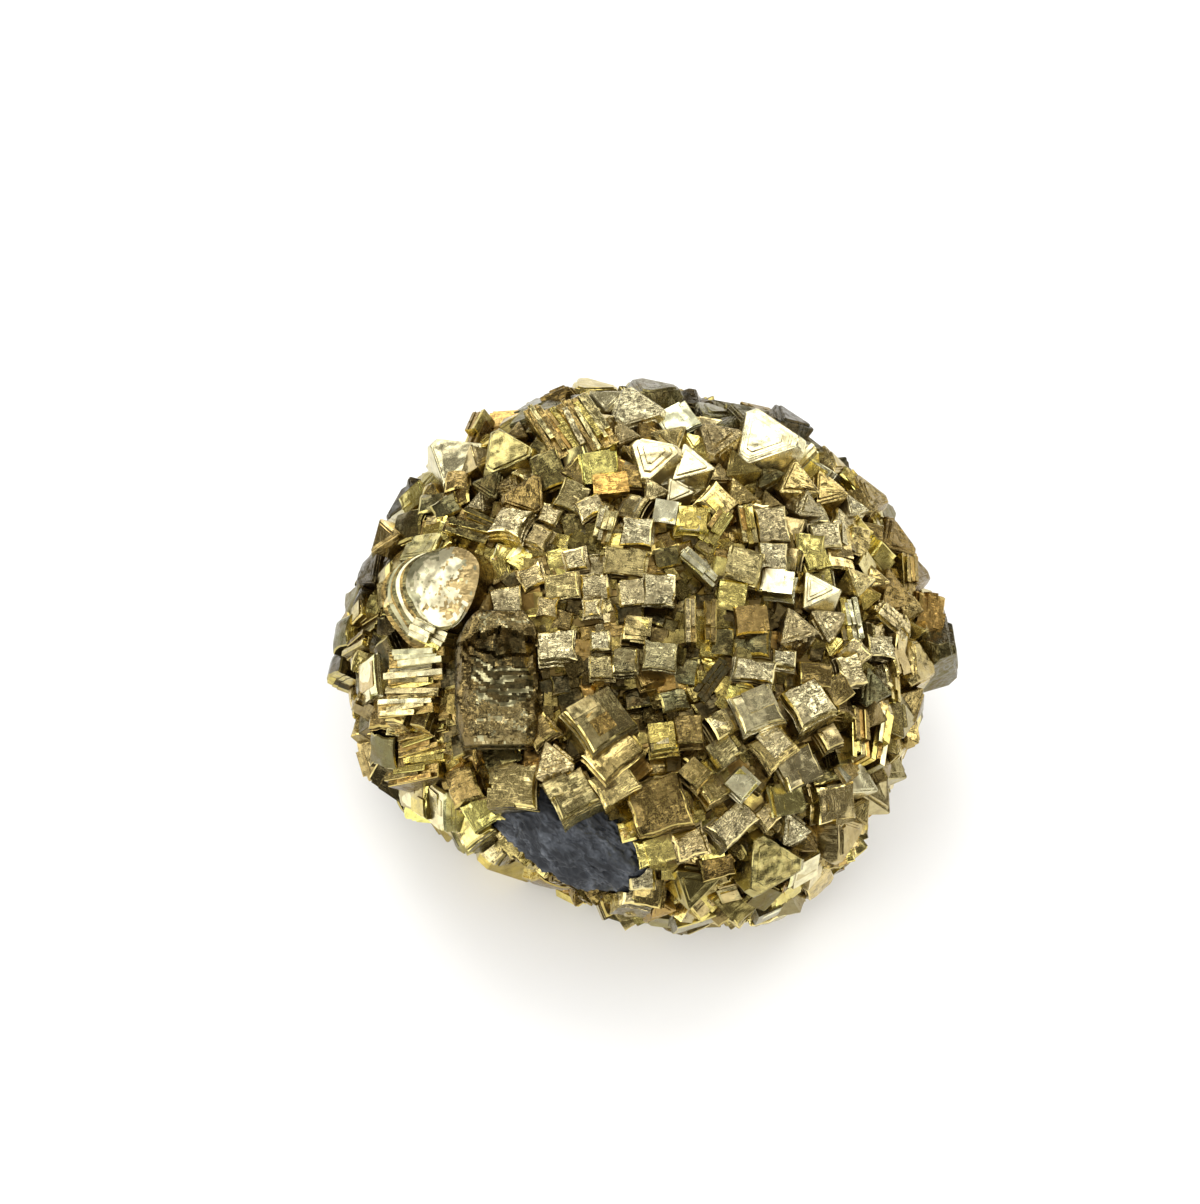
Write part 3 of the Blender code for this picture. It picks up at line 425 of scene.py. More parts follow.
# Their unevenness in layers, each as strong and as fine as given. Then how far the middle is dished, as a
# share of the texture's depth, how far the sides are drawn in, as a share of its pinch, and how narrow the
# dish is.
BLOCK_UNEVEN = ((1, 0.9), (0.6, 2.3))
DISHED = (-0.5, 1.0)
PINCHED = (0.0, 1.4)
DISH_NARROWNESS = 9
# Plates of growth: size as a share of the cell, how far they reach down, and unevenness (millimetres).
GROWTH_SIZE = (0.6, 1.6)
GROWTH_DEPTH = 0.9 * MM
UNEVEN = (-0.16, 0.06)
# Now and then a growth has another look than its crystal.
MIX_SHARE = 0.3
MIXES = {
    "white": ("smooth silver", "gold", "tan"),
    "silver": ("tan", "brass", "brown"),
    "dull silver": ("silver", "brass", "brown"),
    "smooth silver": ("smooth silver", "brass", "bronze"),
    "tan": ("white", "brass", "gold"),
    "brass": ("silver", "gold", "brown"),
    "bronze": ("brown", "bronze"),
    "gold": ("white", "brass", "orange"),
    "orange": ("gold", "brown", "tan"),
    "brown": ("gold", "brass", "orange"),
    "olive": ("brass", "tan", "dark"),
    "dark": ("olive", "brown", "silver"),
    "hollow": ("hollow",),
    "streaked": ("brown",),
    "earthy": ("earthy",),
    "plate": ("plate",),
    "plate edge": ("plate",),
    "stain": ("stain",),
}
# Growths on an eight-sided crystal: how many, their size as a share of it, the share of them that are on its
# top, how far each stands proud (millimetres), how far it drifts, and how far down a face may look that has
# one.
POINT_GROWTHS = 4
POINT_GROWTH_SHARE = (0.45, 0.88)
TOP_GROWTHS = 0.45
STEP_RISE = (0.05, 0.16)
GROWTH_DRIFT = 0.25
GROWTHS_DOWN_TO = -0.2
# Faces turned less than this from each other (radians) are one.
FLAT = 0.02
# Ribs of a slab: width, width as a share of their spacing, length and stray along it as shares of the slab's
# length, unevenness (millimetres) and lean (degrees).
FINE_RIB = 0.5 * MM
RIB_OVERLAP = 1.04
RIB_REACH = (0.84, 1.03)
RIB_STRAY = 0.04
RIB_UNEVEN = 0.16
RIB_LEAN = 2.5
# A slab's low end, and its high end's width, length and place along it, all as shares of the slab's own.
SLAB_LOW_END = 0.8
SLAB_HIGH_WIDTH = 0.86
SLAB_HIGH_LENGTH = 0.62
SLAB_HIGH_PLACE = 0.12
# The shield: its stacked plates' looks, thickness, the top's rings, how far each plate is set to one side,
# and how many sides its outline has.
SHIELD_LOOKS = ("brown", "dark", "plate edge", "brown", "dark", "plate", "brown", "dark")
SHIELD_LAYER = 0.26 * MM
SHIELD_RINGS = 16
SHIELD_DRIFT = Vector((-0.4, -0.1)) * MM
SHIELD_SIDES = 54
# How far its outline bulges at three corners and wavers between them, how much wider each plate is than the
# one on it, how unlike they are, and how far they lean (degrees).
SHIELD_BULGE = 0.085
SHIELD_WAVER = 0.012
SHIELD_WIDENING = 0.02
SHIELD_STRAY = 0.008
SHIELD_LEAN = 1.2
# The top plate: its pits and stains in layers, how deep the pits are, how far its edge is rounded off, and
# the widest vein. Stain grows from the left to the right, and both ends of it have looks of their own.
SHIELD_PITS = ((1, 0.7), (0.4, 1.9), (0.2, 4.5))
SHIELD_STAINS = ((0.45, 0.7), (0.3, 2.4))
SHIELD_PITTED = 0.12 * MM
SHIELD_ROUNDED = 0.3 * MM
VEIN = 0.015
UNSTAINED_BELOW = -0.3
STAINED_ABOVE = 0.2
LADDER_LOOKS = {
    "white": ("silver", "gold", "tan", "plate edge", "smooth silver", "gold"),
    "gold": ("tan", "brass", "brown", "brown", "brass"),
    "brown": ("brown", "gold", "orange", "dark", "tan"),
    "dark": ("dark", "olive", "dark", "brown", "hollow"),
}
# A ladder's rungs: width as a share of its own, depth as a share of their spacing, and how far they stay
# under their bars.
RUNG_WIDTH = 0.97
RUNG_DEPTH = 1.05
RUNG_UNDER = 0.5 * MM
# Bars on a rung of a ladder: how many, width as a share of the rung's, depth as a share of their spacing,
# rise (millimetres) and lean (degrees).
LADDER_BARS = 3
BAR_WIDTH = (0.6, 1.02)
BAR_DEPTH = (0.9, 1.3)
BAR_RISE = (-0.22, 0.12)
BAR_LEAN = 6
# The barrel: how its terraces curve, where the lowest is, how many, how far apart and how high.
BARREL_SMILE = 0.13
BARREL_LOWEST = 2.9 * MM
BARREL_STEPS = 5
BARREL_PITCH = 1.15 * MM
BARREL_STEP = 0.42 * MM
BARREL_GRID = 0.23 * MM
# How its terraces waver and how rough it is, in layers.
BARREL_WAVER = ((0.55, 0.5), (0.2, 1.5))
BARREL_ROUGH = ((0.16 * MM, 0.9), (0.12 * MM, 2.6))

# How far crystals may lean awry (radians): those that look straight at the eye, the others, and how
# straight that is.
STEADY = 0.1
AWRY = 0.2
FACES_EYE = 0.93
# Where the show side curves away as far as this, its crystals stand awry.
STEADY_ABOVE = 0.6

# Lesser crystals between the large ones, parallel to the nearest: width in millimetres, spacing, rise, lean.
LESSER_TRIES = 7000
LESSER_WIDTH = (1.5, 2.9)
LESSER_LENGTH = (0.8, 1.2)
LESSER_SPACING = 0.37
LESSER_RISE = (0.05, 0.45)
LESSER_LEAN = 0.2
STRAY_RISE = (0.5, 0.85)
STRAY_SWELL = 1.25
STRAY_LEAN = 0.5
# In the middle mostly dark and hollow: painted shade in the gaps between the squares.
MIDDLE_LESSER_LOOKS = ("brown", "dark", "hollow", "hollow", "hollow", "orange", "gold", "hollow")
UPPER_LESSER_LOOKS = ("gold", "brown", "silver", "brown", "hollow", "gold", "dark")
BRIGHTER_ABOVE = 8

# Crystals that fill the gaps, parallel to the nearest large one: their spacing, size and rise.
GAP_SPACING = 0.9 * MM
GAP_SIZE = 1.6 * MM
GAP_SCALE = (0.5, 1.15)
GAP_RISE = (-0.1 * MM, 0.7 * MM)
GAP_LEAN = 0.25
GAP_FLOOR = 1.6 * MM
# How far their tint is darkened below the nearest crystal's, a painted shade in the gaps, and how many
# may stand on a square metre.
GAP_SHADE = 0.7
GAP_DENSITY = 4.0e6
# Their parts, as shares of their size: boxes through the cube by sides and middle, and the cubes
# that the eight-sided ones are cut from by side and lift.
CUBE_GROWTHS = (
    ((0.7, 0.62, 1.14), (0.09, 0.12, 0)),
    ((0.5, 1.1, 0.94), (-0.18, 0, 0)),
    ((0.4, 0.35, 1.22), (-0.2, -0.2, 0)),
)
POINT_CUBES = ((1.9, 0.0), (1.35, 0.17))

# The rock: how fine its mesh and its pocket are, the seam between them, and its fibres' turn in the mesh and
# in the finish, and their height.
ROCK_SUBDIVISIONS = 7
POCKET_SUBDIVISIONS = 5
ROCK_SEAM = 0.05 * MM
FIBRE_TURN = math.radians(-15)
FIBRE_SLANT = math.radians(-35)
FIBRE_HEIGHT = 0.5 * MM
# How fine the fibres are along, across and up, and the rock's crumbs in layers.
FIBRE_FINENESS = (0.3, 1.2, 0.9)
ROCK_CRUMBS = ((1, 0.8), (0.5, 2.2))

# Edges sharper than this stay sharp; gentler ones are shaded smooth.
SHARP_FROM = math.radians(24)
# What isn't a crystal's own face: the number of the cut faces; the core's is 0.
CUT = -1
# How far the facets tip on polished faces and on pitted ones.
GLITTER_TILT = (0.05, 0.42)
# Shelter: how many ways are looked, how far from flat along the surface they are, from how far off it, and
# how far.
SHELTER_RAYS = 24
SHELTER_STEEPNESS = 0.1
SHELTER_START = 0.05 * MM
SHELTER_REACH = 2.2 * MM
# Painting: how far the crystals differ in shade, polish and warmth, and the core's own marks.
SHADES = (0.8, 1.15)
WARMTH = 0.06
CORE_MARKS = (0.3, 0.4, 0.5, 0.1)
# Edges and side faces: how far such a face leans, how far edges are lightened as a painted highlight
# and how polished they are, and the share of side faces painted dark as shade. Shades are the lowest and
# what a draw adds; gold is a painted reflection that light side faces and edges take on.
EDGE_BELOW = 0.88
SIDE_BELOW = 0.7
PAINTED_EDGE_HIGHLIGHT = 1.2
EDGE_POLISH = 0.9
PAINTED_SHADE_SIDES = 0.66
TOP_SHADES = (0.85, 0.3)
POINT_SHADES = (0.62, 0.53)
PAINTED_LIT_SIDE_SHADES = (0.8, 0.4)
PAINTED_SIDE_SHADES = (0.3, 0.5)
PAINTED_SIDE_REFLECTION = 0.6
PAINTED_EDGE_REFLECTION = 0.35
LIGHTEST = 0.97
# A face's direction counts in so many steps along each axis, and its length is so many of them.
SIDE_STEPS = 5
SIDE_SPREAD = 1.6
# The metal's roughness from unpolished to polished, and the colour painted as shade down its pits and
# between its ribs.
METAL_ROUGHNESS = (0.23, 0.1)
PIT_AND_RIB_SHADE_COLOUR = (0.10, 0.07, 0.03, 1)
# The rock between its fibres and on them, and the colour of its dark clouds and of the painted shade in its
# pits.
ROCK_COLOURS = ((0.018, 0.021, 0.026, 1), (0.13, 0.142, 0.16, 1))
ROCK_DARK_AND_PIT_SHADE_COLOUR = (0.016, 0.018, 0.022, 1)

# Studio: panels by name, way, size and brightness, and how far off they are.
PANELS = (
    ("rear left low", (-0.36, 0.89, 0.28), 0.24, 3.8),
    ("left low", (-0.89, -0.36, 0.28), 0.24, 4.6),
    ("front left", (-0.53, -0.53, 0.67), 0.24, 2.8),
    ("left", (-0.79, -0.11, 0.58), 0.22, 2.5),
    ("right rear", (0.53, 0.53, 0.67), 0.24, 4.7),
    ("right low", (0.89, 0.36, 0.28), 0.24, 2.4),
    ("right front", (0.53, -0.53, 0.67), 0.24, 3.4),
    ("overhead", (0.06, -0.10, 0.99), 0.2, 1.2),
    ("front", (0.04, -0.54, 0.84), 0.1, 5.2),
    ("overhead rear", (-0.20, 0.37, 0.91), 0.26, 3.8),
)
PANEL_DISTANCE = 0.6
# How bright the room is for matt surfaces, for the metal, and for the metal at the front; then its colours.
ROOM_FOR_MATT = 0.85
ROOM_FOR_METAL = 0.19
ROOM_FRONT = 0.08
ROOM_COLOURS = ((1.0, 0.99, 0.98, 1), (1.0, 0.91, 0.72, 1))
FLOOR_REACH = 2.0
FLOOR_COLOURS = ((0.86, 0.86, 0.85, 1), (0.89, 0.89, 0.88, 1))
# The lens, and where on the show side it is aimed (millimetres right and up).
LENS = 84
AIM = (-4.4, 5.1)


# ---------------------------------------------------------------- where the crystals stand

def core_mesh():
    """The ball under the crystals: an ellipsoid with broad swells and hollows and a coarse surface."""
    ball = bmesh.new()
    bmesh.ops.create_icosphere(ball, subdivisions=CORE_SUBDIVISIONS, radius=1)
    for vert in ball.verts:
        way = vert.co.normalized()
        place = Vector(r * w for r, w in zip(CORE_RADII, way))
        for round_edge, towards_eye, reach, height in CORE_SWELLS:
            a, t = math.radians(round_edge), math.radians(towards_eye)
            edge = SHOW_RIGHT * math.cos(a) + SHOW_UP * math.sin(a)
            peak = edge * math.cos(t) + SHOW_OUT * math.sin(t)
            off = math.degrees(place.angle(peak)) / reach
            place += way * height * MM * math.exp(-off * off)
        place += way * CORE_ROUGHNESS * noise.noise(way * CORE_GRAIN)
        vert.co = CORE_MIDDLE + place
    return ball


def on_show_side(right, up):
    """The point of the show side that is so many millimetres right and up."""
    return SHOW_MIDDLE + (SHOW_RIGHT * right + SHOW_UP * up) * MM


def core_normal(point):
    """Which way the smooth ball under the crystals faces at a point."""
    away = point - CORE_MIDDLE
    return Vector(a / (r * r) for a, r in zip(away, CORE_RADII)).normalized()


def on_core(tree, right, up):
    """The point and outward normal of the core that a place on the show side falls on, or lies nearest to."""
    target = on_show_side(right, up)
    point, _, _, _ = tree.ray_cast(EYE, (target - EYE).normalized())
    if point is None:
        point, _, _, _ = tree.find_nearest(target)
    return point, core_normal(point)


def seen_at(point):
    """A point's place on the show side in millimetres, right and up."""
    way = point - EYE
    reach = EYE_DISTANCE / -way.dot(SHOW_OUT)
    on_plane = EYE + way * reach - SHOW_MIDDLE
    return on_plane.dot(SHOW_RIGHT) / MM, on_plane.dot(SHOW_UP) / MM


def standing(point, upright, turn):
    """The matrix of a crystal whose own Z is its upright, and whose X is the show side's right, turned."""
    across = SHOW_RIGHT - upright * SHOW_RIGHT.dot(upright)
    if across.length < TOO_STEEP:
        across = SHOW_UP - upright * SHOW_UP.dot(upright)
    across.normalize()
    axes = Matrix((across, upright.cross(across), upright)).transposed().to_4x4()
    return Matrix.Translation(point) @ axes @ Matrix.Rotation(math.radians(turn), 4, "Z")


def tipped(upright, up):
    """An upright tipped up the show side, more so low down on it."""
    tip = next((tip for below, tip in TIPS if up < below), 0)
    return (upright.normalized() + SHOW_UP * tip).normalized()


def set_places(tree):
    """The crystals of the list: form, matrix, width, length, rise, look."""
    for form, right, up, width, length, turn, rise, facing, look in SET_CRYSTALS:
        point, normal = on_core(tree, right, up)
        if facing in PARALLEL_WAYS:
            upright = PARALLEL_WAYS[facing]
        else:
            upright = tipped(normal.lerp(SHOW_OUT, facing), up)
        yield form, standing(point, upright, turn), width * MM, length * MM, rise * MM, look


def in_rock_window(right, up):
    """Whether a place on the show side is in the window where the rock is bare."""
    x, y = right - WINDOW_MIDDLE[0], up - WINDOW_MIDDLE[1]
    along = x * math.cos(ROCK_SLANT) + y * math.sin(ROCK_SLANT)
    across = y * math.cos(ROCK_SLANT) - x * math.sin(ROCK_SLANT)
    return (along / WINDOW_RADII[0]) ** 2 + (across / WINDOW_RADII[1]) ** 2 < 1


def fill_habit(right, up, outwards, chance):
    """The form, width, turn and facing of a crystal that fills a gap, by where it is."""
    if outwards < BACK:
        width = chance.uniform(*FILL_BACK_WIDTH)
        form = "point" if chance.random() < BACK_POINTS else "block"
        return form, width, chance.uniform(0, 90), 0.0
    if outwards < EDGE:
        form = "point" if up > 0 else "block"
        return form, chance.uniform(*FILL_EDGE_WIDTH), chance.uniform(0, 90), 0.0
    width = chance.uniform(*FILL_SHOW_WIDTH)
    if up > POINTS_ABOVE or right > POINTS_RIGHT_OF:
        form, wider, turns, facing = FILL_POINTS
    elif right < SLABS_LEFT_OF:
        form, wider, turns, facing = FILL_LEFT
    else:
        form, wider, turns, facing = FILL_CORNERS if up < CORNERS_BELOW else FILL_MIDDLE
    return form, width + wider, chance.uniform(*turns), facing


def fill_looks(right, up, outwards):
    """The looks that a crystal which fills a gap may have, by where it is."""
    if outwards < BACK:
        return BACK_LOOKS
    if outwards < RIM and (up > POINTS_ABOVE or (right < SLABS_LEFT_OF and up > CORNERS_BELOW)):
        return RIM_LOOKS
    if right > POINTS_RIGHT_OF and CORNERS_BELOW < up < POINTS_ABOVE:
        return RIGHT_LOOKS
    if up > POINTS_ABOVE:
        return TOP_LOOKS
    if right < SLABS_LEFT_OF:
        return LEFT_LOOKS
    return BOTTOM_LOOKS if up < CORNERS_BELOW else MIDDLE_LOOKS


def spiral_way(i, count):
    """One of so many directions, spread evenly all round."""
    height = 1 - 2 * (i + 0.5) / count
    flat = math.sqrt(1 - height * height)
    return Vector((flat * math.cos(i * GOLDEN_ANGLE), flat * math.sin(i * GOLDEN_ANGLE), height))


def spiral_ways(count, chance):
    """Directions spread evenly all round, in a drawn order."""
    order = list(range(count))
    chance.shuffle(order)
    return [spiral_way(i, count) for i in order]


def three_draws(chance, most=1):
    """Three numbers drawn between minus the most and the most."""
    return [chance.uniform(-most, most) for _ in range(3)]


def crowded(point, width, taken, spacing):
    """Whether a crystal would stand closer to another than their widths allow."""
    return any((point - other).length < spacing * (width + wide) for other, wide in taken)


def fill_places(tree, taken):
    """Crystals that fill what the list leaves open, none closer to another than its width allows."""
    chance = random.Random(SEED)
    look_chance = random.Random(SEED + 1)
    for way in spiral_ways(FILL_TRIES, chance):
        point, _, _, _ = tree.ray_cast(CORE_MIDDLE, way)
        normal = core_normal(point)
        outwards = normal.dot(SHOW_OUT)
        shown = outwards > EDGE
        right, up = seen_at(point)
        form, width, turn, facing = fill_habit(right, up, outwards, chance)
        rise = width * chance.uniform(*FILL_RISE)
        lean = Vector(three_draws(chance)) * (FILL_LEAN if shown else EDGE_LEAN)
        if shown and in_rock_window(right, up):
            continue
        if crowded(point, width * MM, taken, FILL_SPACING):
            continue
        taken.append((point, width * MM))
        if shown:
            upright = tipped(normal.lerp(SHOW_OUT, facing) + lean, up)
        else:
            upright = (normal + lean).normalized()
        look = look_chance.choice(fill_looks(right, up, outwards))
        yield form, standing(point, upright, turn), width * MM, width * MM, rise * MM, look


# ---------------------------------------------------------------- shapes of the fine surface

def new_object(name, mesh, material=None, collection=None):
    """A Blender object from a bmesh, which it frees."""
    data = bpy.data.meshes.new(name)
    mesh.to_mesh(data)
    mesh.free()
    if material:
        data.materials.append(material)
    return linked(name, data, collection)


def linked(name, data, collection=None):
    """A Blender object with its data, in the scene or in a collection of its own."""
    made = bpy.data.objects.new(name, data)
    if collection is None:
        collection = bpy.context.scene.collection
    collection.objects.link(made)
    return made


def closed_shape(mesh, numbers, matrix, collection):
    """Turns a bmesh in a crystal's own axes into an object, its faces numbered and mapped."""
    number = mesh.faces.layers.int.new("crystal")
    facet = mesh.loops.layers.uv.new("facet")
    mesh.normal_update()
    for face in mesh.faces:
        face[number] = numbers[face.material_index]
        face.material_index = 0
        across = max(range(3), key=lambda axis: abs(face.normal[axis]))
        along, over = ((1, 2), (2, 0), (0, 1))[across]
        for loop in face.loops:
            loop[facet].uv = (loop.vert.co[along] / MM, loop.vert.co[over] / MM)
    mesh.transform(matrix)
    return new_object("shape", mesh, collection=collection)


def chamfered(mesh, width=CHAMFER):
    """Takes the edges off a convex shape."""
    bmesh.ops.bevel(mesh, geom=mesh.edges[:], offset=width, segments=1, affect="EDGES", clamp_overlap=True)
    return mesh


def prism(outline, low, high):
    """A closed prism on an anticlockwise outline, from one height to another."""
    mesh = bmesh.new()
    rings = [[mesh.verts.new((x, y, z)) for x, y in outline] for z in (low, high)]
    mesh.faces.new(reversed(rings[0]))
    mesh.faces.new(rings[1])
    count = len(outline)
    for i in range(count):
        j = (i + 1) % count
        mesh.faces.new((rings[0][i], rings[0][j], rings[1][j], rings[1][i]))
    return mesh


def rectangle(width, length, middle):
    """The corners of a rectangle."""
    x, y = width / 2, length / 2
    return [(cx + middle[0], cy + middle[1]) for cx, cy in ((-x, -y), (x, -y), (x, y), (-x, y))]


def box(width, length, high, middle=(0, 0), edge=CHAMFER):
    """A chamfered box that reaches down to the root, its footprint centred on middle."""
    return chamfered(prism(rectangle(width, length, middle), -ROOT, high), edge)


def leaning(mesh, middle, high, chance, most, about_x=0.0, about_y=0.0):
    """Turns a shape about the middle of its top, by two set angles and up to so many degrees each way."""
    pivot = Vector((*middle, high))
    stray = three_draws(chance, most)
    turn = Euler([math.radians(a + b) for a, b in zip((about_x, about_y, 0), stray)])
    mesh.transform(Matrix.Translation(pivot) @ turn.to_matrix().to_4x4() @ Matrix.Translation(-pivot))
    return mesh


def growths(width, length, rise, texture, chance):
    """Small square growths strewn over a top: uneven, slightly out of true, and bowed like a pillow."""
    count = max(3, round(width * length / texture.cell ** 2 * texture.crowding))
    for _ in range(count):
        wide, long = (min(side, texture.cell * chance.uniform(*GROWTH_SIZE)) for side in (width, length))
        u, v = (chance.uniform(-1, 1) for _ in range(2))
        x, y = u * (width - wide * 0.8) / 2, v * (length - long * 0.8) / 2
        fall = math.radians(texture.bow) * (x * x / width + y * y / length)
        high = rise + chance.uniform(*UNEVEN) * MM - fall
        made = prism(rectangle(wide, long, (x, y)), high - GROWTH_DEPTH, high)
        yield leaning(made, (x, y), high, chance, texture.lean, -texture.bow * y * 2 / length,
                      texture.bow * x * 2 / width)


def texture_of(look):
    """How a look's faces are broken up."""
    polish = LOOKS[look][1]
    if polish < ROUGH_BELOW:
        return ROUGH
    return SMOOTH if polish > SMOOTH_ABOVE else MIDDLING


def raised_block(width, length, segments, height_at, rings, wobble=None, look_at=None, narrowing=None):
    """A closed block whose top is a grid of given heights, and whose sides go down in steps, ring by ring.

    Each ring is how far out of the top's edge it stands and how far below it. Wobble moves the outline, and
    narrowing is the share of the width that is left at a given place along the length.
    """
    mesh = bmesh.new()
    columns, rows = segments
    edge = -rings[0][0]

    def spot(i, j, out):
        u, v = i / columns * 2 - 1, j / rows * 2 - 1
        shift = wobble(u, v) if wobble else 0
        share = narrowing(v) if narrowing else 1
        return u * (width / 2 + out + shift * abs(u)) * share, v * (length / 2 + out + shift * abs(v))

    grid = []
    for i in range(columns + 1):
        places = [spot(i, j, -edge) for j in range(rows + 1)]
        grid.append([mesh.verts.new((x, y, height_at(x, y))) for x, y in places])
    for i in range(columns):
        for j in range(rows):
            face = mesh.faces.new((grid[i][j], grid[i + 1][j], grid[i + 1][j + 1], grid[i][j + 1]))
            if look_at:
                middle = face.calc_center_median()
                face.material_index = look_at(middle.x, middle.y)
    border = [(i, 0) for i in range(columns)] + [(columns, j) for j in range(rows)]
    border += [(i, rows) for i in range(columns, 0, -1)] + [(0, j) for j in range(rows, 0, -1)]
    above = [grid[i][j] for i, j in border]
    tops = [vert.co.z for vert in above]
    for out, down in rings[1:]:
        ring = []
        for (i, j), top in zip(border, tops):
            low = max(top - down, -ROOT + FOOT) if down < ROOT else -ROOT
            ring.append(mesh.verts.new((*spot(i, j, out), low)))
        walled(mesh, above, ring)
        above = ring
    mesh.faces.new(reversed(above))
    return mesh


def walled(mesh, above, below, look=0):
    """Joins a ring of points to the ring under it."""
    for k in range(len(above)):
        m = (k + 1) % len(above)
        mesh.faces.new((above[m], above[k], below[k], below[m])).material_index = look


def layered(place, layers, offset=Vector()):
    """Noise added up from layers, each as strong and as fine as given."""
    return sum(strength * noise.noise(place * fineness + offset) for strength, fineness in layers)


def block_shapes(width, length, rise, look, chance, coarse=1.0):
    """A square crystal: an uneven, pillowed top, stepped sides, and on smooth ones plates of growth."""
    texture = texture_of(look)
    offset = Vector(chance.uniform(-50, 50) for _ in range(3))
    bow = math.radians(texture.bow)
    slope = [math.radians(chance.uniform(-texture.lean, texture.lean)) for _ in range(2)]
    hollow = chance.uniform(*DISHED) * texture.pitted
    pinch = texture.pinch * chance.uniform(*PINCHED) * width / 2

    def height_at(x, y):
        place = Vector((x, y, 0)) / MM
        uneven = layered(place, BLOCK_UNEVEN, offset)
        dish = hollow * math.exp(-(x * x + y * y) / (width * length) * DISH_NARROWNESS)
        fall = bow * (x * x / width + y * y / length)
        return rise - fall + slope[0] * x + slope[1] * y + uneven * texture.pitted - dish

    def wobble(u, v):
        drawn_in = pinch * (1 - min(abs(u), abs(v)) ** 2)
        return texture.pitted * 1.2 * noise.noise(Vector((u, v, 0)) * 2.2 + offset) - drawn_in

    segments = [max(2, min(MOST_CELLS, round(side / (GRID * coarse)))) for side in (width, length)]
    first, second = sorted(chance.uniform(*LEDGE_DEPTH) * MM for _ in range(2))
    steps = [chance.uniform(*LEDGE_STEP) * MM for _ in range(2)]
    bevel = chance.uniform(*BEVEL)
    rings = [(-bevel, 0), (0, bevel), (0, bevel + first), (steps[0], bevel + first + 0.03 * MM),
             (steps[0], bevel + second + 0.04 * MM), (sum(steps), bevel + second + 0.07 * MM),
             (sum(steps), 2 * ROOT)]
    yield raised_block(width, length, segments, height_at, rings, wobble), look
    if texture.plates:
        for made in growths(width, length, rise, texture._replace(cell=texture.cell * coarse), chance):
            yield made, mixed_look(look, chance)


def mixed_look(look, chance):
    """Mostly the crystal's own look, now and then one that goes with it."""
    return chance.choice(MIXES[look]) if chance.random() < MIX_SHARE else look


def point_shapes(width, length, rise, look, chance):
    """An eight-sided crystal lying on a triangular face, with three-sided steps of growth on its faces."""
    cut = POINT_CUT if width > BLUNT_WIDTH else SMALL_POINT_CUT
    corners = [Vector(s * a for s in axis) for axis in ((1, 0, 0), (0, 1, 0), (0, 0, 1)) for a in (1, -1)]
    points = [c.lerp(other, cut) for c in corners for other in corners if abs(c.dot(other)) < 0.5]
    lay_down = Vector((1, 1, 1)).rotation_difference(Vector((0, 0, 1))).to_matrix()
    size = width / math.sqrt(1.5)
    reach = size / math.sqrt(3)
    middle = Vector((0, 0, rise - reach))
    faces = [lay_down @ Vector((a, b, c)).normalized() for a in (1, -1) for b in (1, -1) for c in (1, -1)]
    faces = [way for way in faces if way.z > GROWTHS_DOWN_TO]
    grown = [(1.0, Vector())]
    for _ in range(POINT_GROWTHS):
        way = faces[0] if chance.random() < TOP_GROWTHS else chance.choice(faces)
        share = chance.uniform(*POINT_GROWTH_SHARE)
        drift = Vector(three_draws(chance)) * reach * GROWTH_DRIFT * (1 - share)
        grown.append((share, way * (reach * (1 - share) + chance.uniform(*STEP_RISE) * MM) + drift))
    for share, off in grown:
        mesh = bmesh.new()
        verts = [mesh.verts.new(middle + off + lay_down @ p * size * share) for p in points]
        bmesh.ops.convex_hull(mesh, input=verts)
        bmesh.ops.dissolve_limit(mesh, angle_limit=FLAT, verts=mesh.verts, edges=mesh.edges)
        yield chamfered(mesh, CHAMFER * (1 if share == 1 else 0.5))


def ribs(width, length, rise, middle, look, chance):
    """Narrow bars side by side across a width, each a little higher, lower, longer or shorter."""
    count = max(2, round(width / FINE_RIB))
    pitch = width / count
    for i in range(count):
        reach = length * chance.uniform(*RIB_REACH)
        high = rise + chance.uniform(-RIB_UNEVEN, RIB_UNEVEN) * MM
        stray = chance.uniform(-RIB_STRAY, RIB_STRAY) * length
        side = (middle[0] + (i + 0.5) * pitch - width / 2, middle[1] + stray)
        made = box(pitch * RIB_OVERLAP, reach, high, side, FINE_CHAMFER)
        yield leaning(made, side, high, chance, RIB_LEAN), mixed_look(look, chance)


def slab_shapes(width, length, rise, look, chance):
    """A long ribbed crystal with one end lower than the other."""
    yield from ribs(width, length, rise * SLAB_LOW_END, (0, 0), look, chance)
    place = (0, length * SLAB_HIGH_PLACE)
    yield from ribs(width * SLAB_HIGH_WIDTH, length * SLAB_HIGH_LENGTH, rise, place, look, chance)


def ladder_shapes(width, length, rise, look, chance):
    """Ribbed slabs side by side, like the rungs of a ladder, each a step higher or lower than the last."""
    rungs = max(2, round(length / RIB_PITCH))
    pitch = length / rungs
    for i in range(rungs):
        high = rise - RIB_STEP * ((i * 2) % 3)
        shift = RIB_STEP * ((i * 5) % 4 - 1.5)
        rung_look = chance.choice(LADDER_LOOKS[look])
        middle = (shift, (i + 0.5) * pitch - length / 2)
        yield box(width * RUNG_WIDTH, pitch * RUNG_DEPTH, high - RUNG_UNDER, middle), "brown"
        for k in range(LADDER_BARS):
            wide = width * chance.uniform(*BAR_WIDTH)
            place = (shift + (width - wide) / 2 * chance.uniform(-1, 1),
                     (i + (k + 0.5) / LADDER_BARS) * pitch - length / 2)
            top = high + chance.uniform(*BAR_RISE) * MM
            made = box(wide, pitch / LADDER_BARS * chance.uniform(*BAR_DEPTH), top, place, FINE_CHAMFER)
            yield leaning(made, place, top, chance, BAR_LEAN), mixed_look(rung_look, chance)


